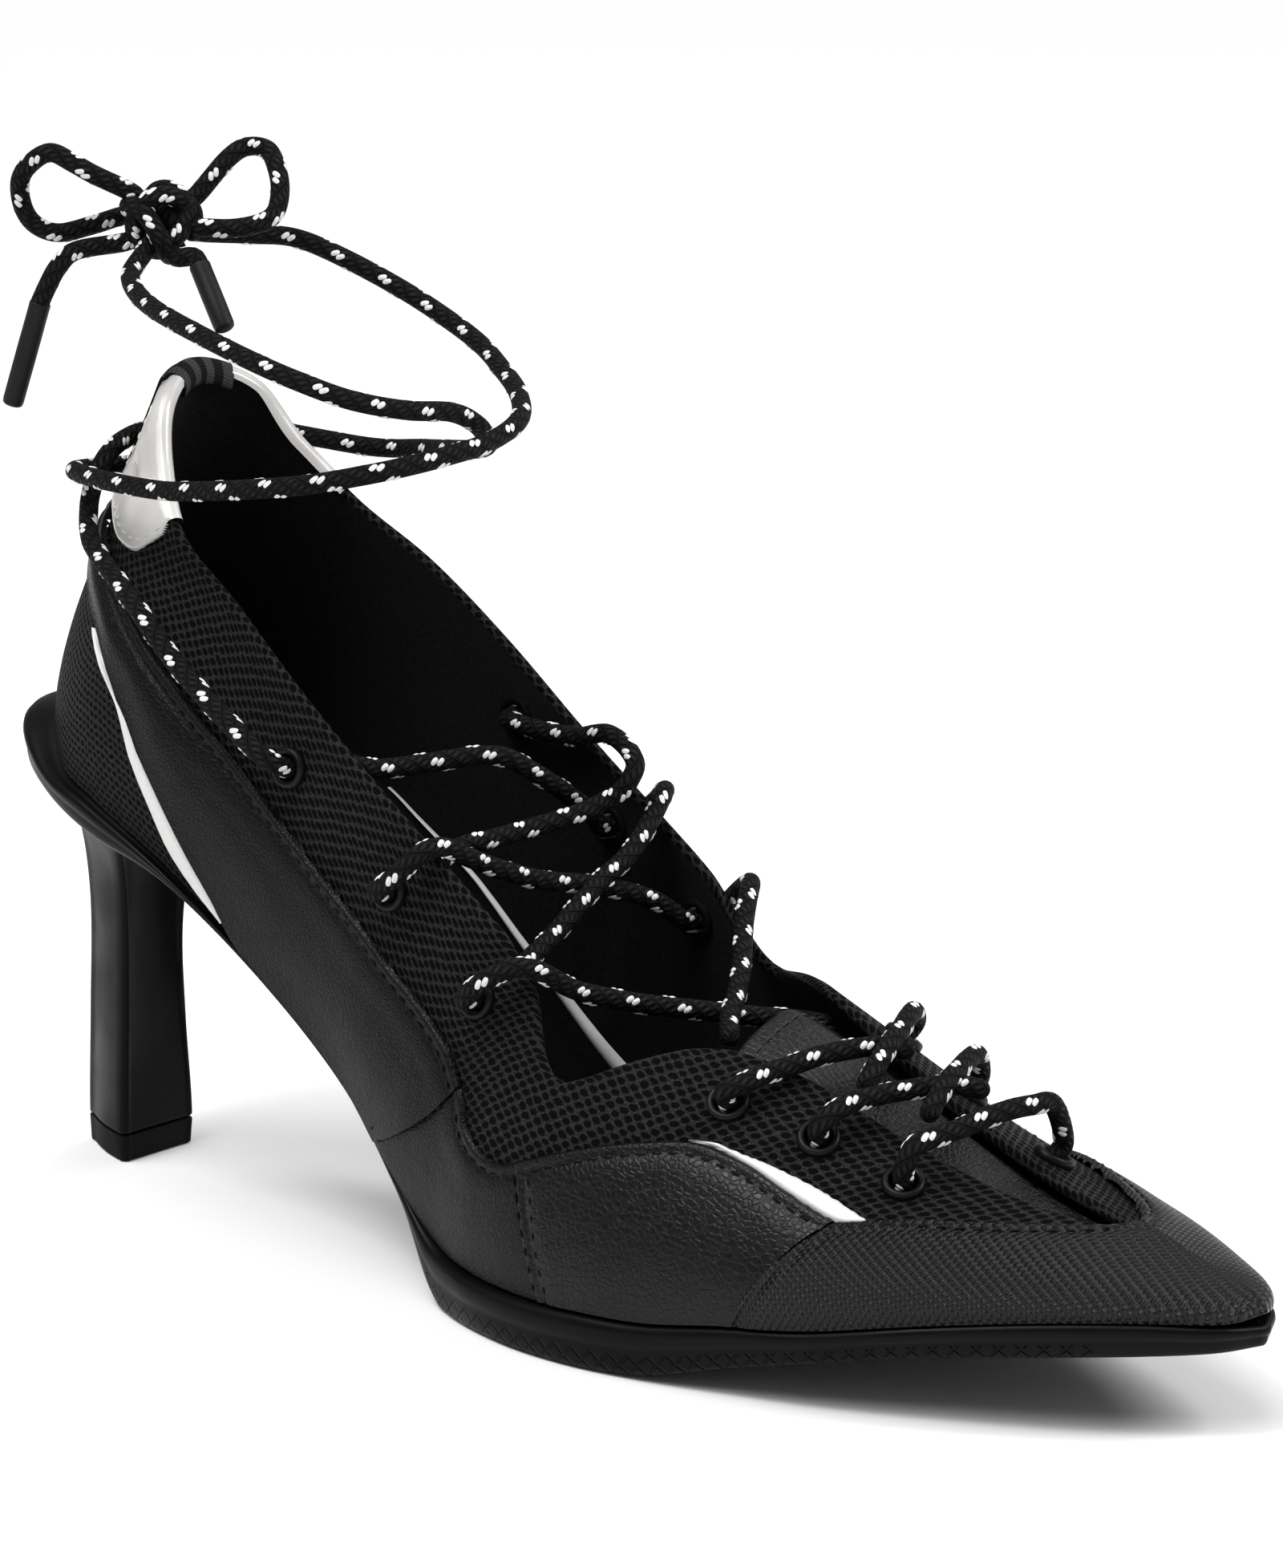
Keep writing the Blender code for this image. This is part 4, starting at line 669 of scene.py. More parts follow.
def mesh_fabric(name, across, up, yarn, painted_hole_shade, radius):
    """Spacer mesh: oval holes in staggered rows with a raised net of threads between them. The holes are
    painted near black as shade in their recesses, and noise paints glints of light on the threads.
    """
    m = Maker(name, (0.006, 0.006, 0.006), 0.62, 0.07)
    u, v, uv = m.places()
    wobble = m.node("ShaderNodeTexNoise", {"Vector": uv, "Scale": 0.45, "Detail": 2.0}).outputs[1]
    bent = m.node("ShaderNodeSeparateXYZ", {0: wobble})
    u = m.math("MULTIPLY_ADD", m.math("SUBTRACT", bent.outputs[0], 0.5), 1.1, u)
    v = m.math("MULTIPLY_ADD", m.math("SUBTRACT", bent.outputs[1], 0.5), 0.9, v)
    distances = []
    for shift in (0.0, 0.5):
        a = m.math("SUBTRACT", m.math("FRACT", m.math("ADD", m.math("DIVIDE", u, across), shift)), 0.5)
        b = m.math("SUBTRACT", m.math("FRACT", m.math("ADD", m.math("DIVIDE", v, up), shift)), 0.5)
        a = m.math("MULTIPLY", a, across * 0.62)
        b = m.math("MULTIPLY", b, up)
        distances.append(m.math("SQRT", m.math("ADD", m.math("MULTIPLY", a, a), m.math("MULTIPLY", b, b))))
    near = m.math("MINIMUM", distances[0], distances[1])
    net = m.ramp(near, radius * 0.78, radius * 1.25)
    fibre = m.noise(uv, 3.2, 4.0, 0.75)
    # painted highlight: noise lightens parts of the threads as glints of light
    painted_glint = m.ramp(fibre, 0.47, 0.68)
    painted_light_and_tone = m.math("MULTIPLY", net, m.math("MULTIPLY_ADD", painted_glint, 0.8, 0.2))
    # holes painted near black as shade; threads in their own dark colour with painted glints
    m.color(m.mix(painted_light_and_tone, painted_hole_shade, yarn))
    m.rough(m.ramp(net, 0.0, 1.0, 0.9, 0.52, False))
    m.bump(net, 0.00060)
    m.bump(fibre, 0.00020)
    return m.material


def felt(name, color):
    m = Maker(name, color, 0.95, 0.03)
    where = m.here()
    fine = m.noise(where, 2.6, 4.0, 0.7)
    broad = m.noise(where, 0.12, 2.0)
    m.color(m.mix(m.ramp(fine, 0.35, 0.7), toned(color, 0.6),
                  toned(color, 1.8)))
    m.rough(m.ramp(broad, 0.3, 0.7, 0.86, 0.98))
    m.bump(fine, 0.00018)
    m.set(Sheen_Weight=0.02, Sheen_Roughness=0.5)
    return m.material


def leather(name, color, rough, grain, depth, crease=0.0, spec=0.16):
    """Leather with a cell grain of a size in millimetres. Its colour is painted darker in the grain's
    valleys as shade, over a broad random tone.
    """
    m = Maker(name, color, rough, spec)
    where = m.here()
    warp = m.node("ShaderNodeTexNoise", {"Vector": where, "Scale": 0.5 / grain, "Detail": 2.0})
    bent = m.node("ShaderNodeVectorMath", {0: warp.outputs[1], 1: (0.9 * grain,) * 3, 2: where},
                  operation="MULTIPLY_ADD").outputs[0]
    cells = m.node("ShaderNodeTexVoronoi", {"Vector": bent, "Scale": 1 / grain},
                   feature="DISTANCE_TO_EDGE").outputs["Distance"]
    pebble = m.ramp(cells, 0.0, 0.22)
    pores = m.noise(where, 4.5 / grain, 3.0, 0.6)
    broad = m.noise(where, 0.06, 3.0, 0.55)
    m.bump(broad, 0.0011, 0.5)
    m.bump(pebble, depth)
    m.bump(pores, depth * 0.45)
    if crease:
        long = m.node("ShaderNodeVectorMath", {0: where, 1: (0.25, 0.6, 0.5)},
                      operation="MULTIPLY").outputs[0]
        m.bump(m.noise(long, 0.8, 4.0, 0.6), crease, 0.7)
    # painted shade in the grain's valleys between pebbles, plus a broad random tone
    valley_shade_and_tone = m.math("MULTIPLY_ADD", pebble, 0.35, m.math("MULTIPLY", broad, 0.8))
    m.color(m.mix(valley_shade_and_tone, toned(color, 0.55), toned(color, 1.35)))
    m.rough(m.math("MULTIPLY_ADD", m.math("SUBTRACT", broad, 0.5), 0.14,
                   m.ramp(pebble, 0.0, 1.0, rough + 0.12, rough, False)))
    return m.material


def embossed(name, color):
    """Toe cap: fine lines pressed crosswise on the diagonal. The pressed grooves are painted darker as
    shade and the ridges lighter as painted glints.
    """
    m = Maker(name, color, 0.36, 0.27)
    u, v, uv = m.places()
    lines = []
    for slope, pitch in ((1.0, 1.45), (-0.55, 1.25)):
        lines.append(m.wave(m.math("MULTIPLY_ADD", v, slope, u), pitch))
    height = m.math("MULTIPLY", m.math("POWER", lines[0], 0.7),
                    m.math("MULTIPLY_ADD", lines[1], 0.75, 0.25))
    fine = m.noise(uv, 3.5, 3.0, 0.6)
    broad = m.noise(uv, 0.05, 2.0)
    m.bump(broad, 0.0008, 0.5)
    m.bump(height, 0.00048)
    m.bump(fine, 0.00008)
    # painted shade in the pressed grooves and painted highlight on the ridges
    m.color(m.mix(height, toned(color, 0.3), toned(color, 1.2)))
    m.rough(m.ramp(m.math("ADD", height, m.math("MULTIPLY", broad, 0.4)), 0.0, 1.3, 0.46, 0.27, False))
    return m.material


def patent(name):
    m = Maker(name, (0.80, 0.79, 0.77), 0.16, 0.5)
    where = m.here()
    broad = m.noise(where, 0.09, 2.0)
    fine = m.noise(where, 2.2, 2.0)
    m.color(m.mix(m.ramp(broad, 0.3, 0.7), (0.50, 0.485, 0.465), (0.60, 0.59, 0.57)))
    m.rough(m.ramp(fine, 0.3, 0.7, 0.12, 0.20))
    m.bump(broad, 0.0010, 0.5)
    m.bump(fine, 0.00003)
    m.set(Coat_Weight=0.7, Coat_Roughness=0.05)
    return m.material


def white_trim(name):
    m = Maker(name, (0.82, 0.815, 0.80), 0.38, 0.4)
    where = m.here()
    fine = m.noise(where, 1.8, 3.0)
    m.color(m.mix(fine, (0.56, 0.555, 0.545), (0.66, 0.655, 0.645)))
    m.rough(m.ramp(fine, 0.3, 0.7, 0.30, 0.44))
    m.bump(fine, 0.00005)
    return m.material


def rubber(name, color, rough, tread=False, spec=0.09):
    m = Maker(name, color, rough, spec)
    where = m.here()
    fine = m.noise(where, 3.0, 3.0, 0.6)
    broad = m.noise(where, 0.08, 3.0)
    m.color(m.mix(broad, toned(color, 0.7), toned(color, 1.3)))
    m.rough(m.ramp(broad, 0.3, 0.7, rough - 0.06, rough + 0.08))
    m.bump(fine, 0.00003)
    if tread:
        u, v, _ = m.places()
        grooves = []
        for slope in (1.0, -1.0):
            way = m.math("DIVIDE", m.math("MULTIPLY_ADD", v, slope, u), 3.1)
            off = m.math("ABSOLUTE", m.math("SUBTRACT", m.math("FRACT", way), 0.5))
            grooves.append(m.ramp(off, 0.04, 0.14))
        m.bump(m.math("MINIMUM", grooves[0], grooves[1]), 0.0013)
    return m.material


def braid(name, color):
    """Round braid: two sets of yarns that cross over and under. Its colour is painted dark as shade in the
    hollows between the yarns and light as highlight on their crests, with a random fibre tone.
    """
    m = Maker(name, color, 0.70, 0.10)
    u, v, uv = m.places()
    yarns = 8.0
    pitch = 1.55
    ways = [m.math("MULTIPLY_ADD", v, s * yarns, m.math("DIVIDE", u, pitch)) for s in (1.0, -1.0)]
    humps = [m.math("ABSOLUTE", m.math("SINE", m.math("MULTIPLY", w, math.pi))) for w in ways]
    across = [m.math("ABSOLUTE", m.math("SINE", m.math("MULTIPLY", w, math.pi / 2))) for w in ways]
    first = m.math("MULTIPLY", humps[0], across[1])
    second = m.math("MULTIPLY", humps[1], m.math("SUBTRACT", 1.0, across[1]))
    height = m.math("MAXIMUM", first, second)
    fibre = m.noise(uv, 6.0, 3.0, 0.7)
    m.bump(height, 0.00035)
    m.bump(fibre, 0.00008)
    # painted shade and highlight: hollows of the braid darkened, crests lightened, times a random fibre
    # tone
    painted_light_and_tone = m.math("MULTIPLY", m.ramp(height, 0.15, 0.95), m.math("MULTIPLY_ADD", fibre, 0.7, 0.6))
    m.color(m.mix(painted_light_and_tone, toned(color, 0.25), toned(color, 2.3)))
    m.rough(m.ramp(height, 0.0, 1.0, 0.85, 0.58, False))
    return m.material


def thread(name, color, rough=0.6):
    m = Maker(name, color, rough, 0.12)
    where = m.here()
    twist = m.noise(where, 4.0, 2.0)
    m.color(m.mix(twist, toned(color, 0.6), toned(color, 1.4)))
    m.rough(m.ramp(twist, 0.3, 0.7, rough - 0.1, rough + 0.1))
    m.bump(twist, 0.00006)
    return m.material


def striped(name):
    m = Maker(name, (0.01, 0.01, 0.01), 0.7, 0.1)
    u, v, _ = m.places()
    bands = m.ramp(m.math("SINE", m.math("MULTIPLY", u, 2 * math.pi / 4.6)), -0.15, 0.15)
    weave = m.math("MULTIPLY", m.wave(v, 0.45), m.wave(u, 0.5))
    # painted shade: the weave's hollows are darker and its raised threads lighter, within each real dark or
    # grey stripe
    dark = m.mix(weave, (0.003, 0.003, 0.003), (0.012, 0.012, 0.012))
    grey = m.mix(weave, (0.028, 0.028, 0.030), (0.075, 0.076, 0.079))
    m.color(m.mix(bands, dark, grey))
    m.bump(weave, 0.00012)
    m.rough(m.ramp(weave, 0.0, 1.0, 0.82, 0.6, False))
    return m.material


MESH = mesh_fabric("spacer_mesh", 2.5, 1.85, (0.046, 0.046, 0.047), (0.0008, 0.0008, 0.0008), 0.44)
FINE_MESH = mesh_fabric("fine_mesh", 1.35, 2.2, (0.030, 0.030, 0.031), (0.0008, 0.0008, 0.0008), 0.29)
LINING = felt("felt_lining", (0.0050, 0.0050, 0.0050))
SOCK = felt("sock_felt", (0.0030, 0.0030, 0.0030))
SMOOTH = leather("smooth_leather", (0.0011, 0.0011, 0.0012), 0.33, 0.75, 0.00004, 0.00005, 0.15)
PEBBLED = leather("grained_leather", (0.0012, 0.0012, 0.0013), 0.33, 1.05, 0.00005, 0.00003, 0.22)
TONGUE_HIDE = leather("tongue_leather", (0.0022, 0.0022, 0.0024), 0.34, 0.9, 0.00005, 0.00004, 0.30)
EMBOSSED = embossed("embossed_leather", (0.0026, 0.0026, 0.0028))
PATENT = patent("white_patent_leather")
WHITE = white_trim("white_trim_leather")
SOLE_RUBBER = rubber("sole_rubber_satin", (0.0016, 0.0016, 0.0017), 0.38)
TREAD = rubber("tread_rubber", (0.0018, 0.0018, 0.0019), 0.40, tread=True)
HEEL_BLACK = rubber("heel_matte", (0.0016, 0.0016, 0.0017), 0.44)
LIFT_RUBBER = rubber("top_lift_rubber", (0.0020, 0.0020, 0.0020), 0.60)
EYELET_BLACK = rubber("eyelet_paint", (0.0026, 0.0026, 0.0026), 0.42, spec=0.16)
AGLET_GREY = rubber("aglet_sleeve", (0.0075, 0.0075, 0.0078), 0.46, spec=0.15)
BRAID = braid("lace_braid", (0.0040, 0.0040, 0.0041))
FLECK = thread("lace_fleck", (0.66, 0.66, 0.65), 0.55)
STITCH = thread("black_thread", (0.0016, 0.0016, 0.0017), 0.5)
GREY_STITCH = thread("grey_thread", (0.035, 0.035, 0.035), 0.55)
WHITE_STITCH = thread("white_thread", (0.62, 0.62, 0.60), 0.55)
RIBBON = striped("striped_ribbon")


# Upper


def throat(rib, side):
    """Share of a rib that the upper covers, rounded at its corners."""
    table = np.array(THROAT)
    c = 1 if side < 0 else 2
    fine = np.arange(0, LAST_RIB + 0.001, 0.02)
    raw = np.interp(fine, table[:, 0], table[:, c])
    kernel = np.hanning(17)
    soft = np.convolve(np.pad(raw, 8, mode="edge"), kernel / kernel.sum(), "valid")
    cover = np.interp(rib, fine, soft)
    return np.where((rib > THROAT_FRONT) | (rib < THROAT_BACK), 1.0, cover)


def push_holes(points, centres, radius):
    """Clear round holes: move points out to the rim and say which lay inside."""
    inside = np.zeros(points.shape[:2], bool)
    for centre in centres:
        away = points - centre
        distance = np.linalg.norm(away, axis=-1)
        hit = distance < radius
        inside |= hit
        points[hit] = centre + away[hit] / np.maximum(distance[hit], 1e-6)[:, None] * radius
    return inside


def hole_faces(inside):
    return inside[:-1, :-1] & inside[1:, :-1] & inside[1:, 1:] & inside[:-1, 1:]


def make_upper():
    layers = []
    ribs = np.unique(np.concatenate([np.linspace(0, 8, 101), np.linspace(8, 11, 61),
                                     np.linspace(11, THROAT_FRONT, 75),
                                     np.linspace(THROAT_FRONT, LAST_RIB, 36)]))
    count = 46
    for side in (-1, 1):
        cover = throat(ribs, side)
        shares = cover[:, None] * np.linspace(0, 1, count + 1)[None]
        rib_grid = np.broadcast_to(ribs[:, None], shares.shape)
        out = surface(rib_grid, shares, side)
        n = normal(rib_grid, np.clip(shares, 0, TOP_NORMAL_SHARE), side)
        n[0, :, 1] = 0
        n = unit(n)
        inner = out - n * WALL
        places = flat(rib_grid, shares, side)
        edge, edge_n = out[:, -1], n[:, -1]
        along = unit(np.gradient(edge, axis=0))
        over = unit(np.cross(along, edge_n) * side)
        closed = np.clip((THROAT_FRONT - ribs) / 0.35, 0, 1)[:, None]
        steps = np.linspace(0, np.pi, 7)
        rim = np.stack([edge - edge_n * WALL / 2 * (1 - np.cos(a))
                        + over * WALL / 2 * np.sin(a) * closed for a in steps], 1)
        rim_places = np.stack([places[:, -1] + np.array((0.0, 1000 * WALL / 2 * a)) for a in steps], 1)
        holes = [eyelet_place(number, side) for number in range(1, len(EYELETS) + 1)]
        outer_centres = [point for point, _ in holes]
        inner_centres = [point - axis * WALL for point, axis in holes]
        holes_out = hole_faces(push_holes(out, outer_centres, EYELET_HOLE_RADIUS))
        holes_in = hole_faces(push_holes(inner, inner_centres, EYELET_HOLE_RADIUS))
        behind = np.interp(shares, [0, 0.05, 0.2, 0.395, 0.49, 1.0], [4.62, 4.45, 3.95, 3.25, 2.2, 0.0])
        fine_zone = (rib_grid < behind) & (shares < 0.52)
        kind = np.where(fine_zone[:-1, :-1], 2, 0)
        layers.append((out, places, np.where(holes_out, -1, kind), side > 0))
        layers.append((rim, rim_places, 0, side > 0))
        layers.append((inner, places, np.where(holes_in, -1, 1), side < 0))
    mesh = grids_mesh("upper_shell", layers)
    return put("upper_shell", mesh, [MESH, LINING, FINE_MESH], ["upper"], 80)


def edge_profile(distance, lift, groove):
    """Height of a panel's face at a distance from its free edge."""
    d = np.clip(distance / 0.0007, 0, 1)
    height = -0.0004 + (lift + 0.0004) * np.sqrt(np.clip(1 - (1 - d)**2, 0, 1))
    if groove:
        height = height - 0.00026 * np.exp(-((distance - 0.0019) / 0.00045)**2)
        height = height + 0.00012 * np.exp(-((distance - 0.0045) / 0.0016)**2)
    return height


def spread_shares(width, count):
    """Places across a strip, closer together towards its edges."""
    d = np.array([0, 0.0001, 0.00025, 0.00045, 0.0007, 0.0011, 0.0015, 0.0019, 0.0023, 0.0028])
    near = d / max(width, 0.0001)
    near = near[near < 0.42]
    middle = np.linspace(near[-1], 1 - near[-1], count)
    return np.unique(np.round(np.concatenate([near, middle, 1 - near]), 6))


def panel(table, side, lift=PANEL_LIFT, groove=True, free=("high",), count=22, per=10,
          free_rows=None, extra=None, wrap=False):
    """Raised panel on the last, with rounded free edges and a stitching groove."""
    rows = smooth_line(table, per)
    low = surface(rows[:, 0], np.clip(rows[:, 1], 0, 1), side)
    high = surface(rows[:, 2], np.clip(rows[:, 3], 0, 1), side)
    width = float(np.median(np.linalg.norm(high - low, axis=1)))
    w = spread_shares(width, count)
    length = line_length((low + high) / 2)
    ends = spread_shares(length, 2)
    ends = ends[(ends < 0.5)]
    t = np.linspace(0, 1, len(rows))
    keep = np.unique(np.round(np.concatenate([
        ends if "start" in free else [0.0], t[1:-1], 1 - ends if "end" in free else [1.0]]), 6))
    rows = read_line(keep, t, rows)
    rib = rows[:, 0:1] + (rows[:, 2:3] - rows[:, 0:1]) * w[None]
    share = np.clip(rows[:, 1:2] + (rows[:, 3:4] - rows[:, 1:2]) * w[None], 0, 1)
    base = surface(rib, share, side)
    n = normal(rib, np.clip(share, 0, TOP_NORMAL_SHARE), side)
    if table is TOE_CAP:
        crest = np.clip((share - 0.75) / 0.25, 0, 1) * np.clip((rib - 15.9) / 0.4, 0, 1)
        n[..., 1] *= 1 - crest**2 * (3 - 2 * crest)
        tip = (np.clip((rib - 18.0) / 1.0, 0, 1)**2)[..., None]
        n = unit(unit(n) * (1 - tip) + np.array((0.9, 0.0, 0.35)) * tip)
    lines = []
    if "high" in free:
        stop = len(rows)
        if free_rows is not None:
            stop = int(np.searchsorted(keep, free_rows / (len(table) - 1)) + 1)
        lines.append(base[:stop, -1])
    if "low" in free:
        lines.append(base[:, 0])
    if "start" in free:
        lines.append(base[0])
    if "end" in free:
        lines.append(base[-1])
    edge = np.vstack([even_line(line, 0.0004) for line in lines])
    distance = np.full(base.shape[:2], 1.0)
    for chunk in np.array_split(edge, max(len(edge) // 200, 1)):
        gap = np.linalg.norm(base[:, :, None] - chunk[None, None], axis=-1).min(-1)
        distance = np.minimum(distance, gap)
    height = edge_profile(distance, lift, groove)
    if extra is not None:
        height = height + extra(rib, share, keep[:, None] + 0 * w[None], w[None] + 0 * keep[:, None])
    points = base + n * height[..., None]
    if wrap:
        edge_p, edge_n = base[:, -1], n[:, -1]
        along = unit(np.gradient(edge_p, axis=0))
        over = unit(np.cross(along, edge_n) * side)
        radius = WALL / 2 + 0.0006
        centre = edge_p - edge_n * WALL / 2
        more = np.stack([centre + edge_n * radius * np.cos(a) + over * radius * np.sin(a)
                         for a in np.linspace(0.25, 2.9, 8)], 1)
        points = np.concatenate([points[:, :-4], more], 1)
        rib = np.concatenate([rib[:, :-4], np.repeat(rib[:, -1:], 8, 1)], 1)
        share = np.concatenate([share[:, :-4], np.repeat(share[:, -1:], 8, 1)], 1)
    return [(points, flat(rib, share, side), 0, side > 0)]


def stitch_row(line, ups, pitch, length, radii, arch, start=0.0):
    """Short raised stitches along a line, each one arched over its ends."""
    lengths = run_lengths(line)
    layers = []
    for k in range(int(lengths[-1] / pitch)):
        s = np.linspace(0, 1, len(arch)) * length + k * pitch + start
        path = read_line(s, lengths, line) + unit(read_line(s, lengths, ups)) * arch[:, None]
        layers.append(tube_layer(path, radii, STITCH_SIDES))
    return layers


def stitch_layers(rib, share, side, lift, pitch=0.0026, length=0.0018, radius=0.00022):
    """Stitches along a line on the last."""
    line = even_line(np.stack([rib, share], 1), STITCH_LINE_STEP)
    points = surface(line[:, 0], line[:, 1], side)
    n = normal(line[:, 0], np.clip(line[:, 1], 0, TOP_NORMAL_SHARE), side)
    arch = lift + np.array([-0.00022, 0.00004, 0.00012, 0.00004, -0.00022])
    radii = radius * np.array([0.5, 1.0, 1.05, 1.0, 0.5])
    return stitch_row(points, n, pitch, length, radii, arch, STITCH_START)


def offset_edge(table, side, distance, which="high", per=10, start=0, stop=None):
    """Line on the last at a distance inside a strip's edge."""
    rows = smooth_line(table, per)
    rows = rows[start * per: (len(rows) if stop is None else stop * per + 1)]
    low = surface(rows[:, 0], np.clip(rows[:, 1], 0, 1), side)
    high = surface(rows[:, 2], np.clip(rows[:, 3], 0, 1), side)
    width = np.linalg.norm(high - low, axis=1)
    w = distance / np.maximum(width, 0.001)
    if which == "high":
        w = 1 - w
    return (rows[:, 0] + (rows[:, 2] - rows[:, 0]) * w, rows[:, 1] + (rows[:, 3] - rows[:, 1]) * w)


def tab_folds(rib, share, t, w):
    """Soft folds of the patent tab."""
    first = 0.00045 * np.exp(-((t - 0.30 - 0.06 * w) / 0.06)**2)
    second = -0.00025 * np.exp(-((t - 0.42 + 0.05 * w) / 0.07)**2)
    third = 0.00035 * np.exp(-((w - 0.70) / 0.12)**2) * np.exp(-((t - 0.45) / 0.25)**2)
    return first + second + third


def band_folds(rib, share, t, w):
    """Slow swell of the band between its stitched edges."""
    return 0.0006 * np.sin(np.pi * w)**2 + 0.00012 * np.sin(t * 31 + 4 * w) * np.sin(np.pi * w)


def side_piece(name, word, layers, material, node, angle=50):
    mesh = grids_mesh(node + "_" + word, layers)
    put(name + "_" + word, mesh, [material], [node + "_" + word], angle)


def make_panels():
    for side, word in ((-1, "outer"), (1, "inner")):
        side_piece("side_band_leather", word,
                   panel(SIDE_BAND, side, free=("high", "start"), extra=band_folds),
                   SMOOTH, "side_band")
        ball = panel(BALL_PANEL, side, lift=PANEL_LIFT - 0.0003)
        points, places, _, turned = panel(FOREFOOT_PANEL, side, free=("high", "start"))[0]
        mesh = grids_mesh("forefoot_" + word, ball + [(points, places, 1, turned)])
        put("forefoot_leather_" + word, mesh, [SMOOTH, PEBBLED], ["forefoot_panel_" + word])
        side_piece("collar_tab_patent", word,
                   panel(COLLAR_TAB, side, lift=TAB_LIFT, groove=False, per=16, count=36,
                         free=("low", "start", "end"), extra=tab_folds, wrap=True),
                   PATENT, "collar_tab", 70)
        for part, table, lift in (("rear_accent", REAR_ACCENT, 0.0016),
                                  ("front_accent", FRONT_ACCENT, 0.0008)):
            side_piece(part + "_trim", word,
                       panel(table, side, lift=lift, groove=False, free=("high", "low"), count=5),
                       WHITE, part)
    layers = []
    for side in (-1, 1):
        layers += panel(TOE_CAP, side, lift=PANEL_LIFT + 0.0002, free=("high", "start"),
                        free_rows=TOE_CAP_FREE_ROWS, count=30)
    put("toe_cap_leather", grids_mesh("toe_cap_leather", layers, 0.00004), [EMBOSSED], ["toe_cap"], 70)


def make_stitches():
    black, white = [], []
    for side in (-1, 1):
        rib, share = offset_edge(SIDE_BAND, side, STITCH_INSET)
        black += stitch_layers(rib, share, side, PANEL_LIFT - 0.00015)
        rib, share = offset_edge(FOREFOOT_PANEL, side, STITCH_INSET)
        black += stitch_layers(rib, share, side, PANEL_LIFT - 0.00015)
        rib, share = offset_edge(BALL_PANEL, side, STITCH_INSET, start=1)
        black += stitch_layers(rib, share, side, PANEL_LIFT - 0.0005)
        rib, share = offset_edge(TOE_CAP, side, 0.0017, stop=TOE_CAP_FREE_ROWS)
        black += stitch_layers(rib, share, side, PANEL_LIFT)
        for line in SEAMS + [SEAM_BEHIND]:
            fine = smooth_line(line, 8)
            black += stitch_layers(fine[:, 0], fine[:, 1], side, PANEL_LIFT - 0.0001)
        rib, share = offset_edge(COLLAR_TAB, side, 0.0018, which="low")
        white += stitch_layers(rib, share, side, TAB_LIFT, 0.0024, 0.0016, 0.00018)
    put("black_stitching", grids_mesh("black_stitching", black), [STITCH])
    put("white_stitching", grids_mesh("white_stitching", white), [WHITE_STITCH])


def make_ribbon():
    """Striped ribbon over the back of the collar."""
    sides = np.linspace(-0.60, 0.60, 25)
    outer = np.linspace(0.62, 0.995, 30)
    columns = []
    for s in sides:
        side = -1 if s <= 0 else 1
        rib = abs(s)
        p = surface(np.full(30, rib), outer, side)
        n = normal(np.full(30, max(rib, 0.05)), np.clip(outer, 0, 0.95), side)
        if rib < 0.02:
            n[:, 1] = 0
            n = unit(n)
        face = p + n * 0.00115
        edge, edge_n = p[-1], n[-1]
        centre = edge - edge_n * WALL / 2
        radius = WALL / 2 + 0.0005
        top = np.stack([centre + edge_n * radius * np.cos(a) + np.array((0, 0, 1.0)) * radius * np.sin(a)
                        for a in np.linspace(0.15, np.pi - 0.1, 9)])
        inner = p[::-1][1:3] - n[::-1][1:3] * (WALL + 0.0006)
        columns.append(np.vstack([face, top, inner]))
    points = np.stack(columns)
    lengths = row_lengths(points)
    across = run_lengths(points[:, 20])
    places = pair(across[:, None] * MM - RIBBON_STRIPE_SHIFT, lengths * MM)
    piece = put("pull_ribbon_weave", grids_mesh("ribbon", [(points, places, 0, False)]), [RIBBON],
                ["pull_ribbon"], 80)
    thick = piece.modifiers.new("thickness", "SOLIDIFY")
    thick.thickness = 0.0006
    thick.offset = -1.0
    return piece


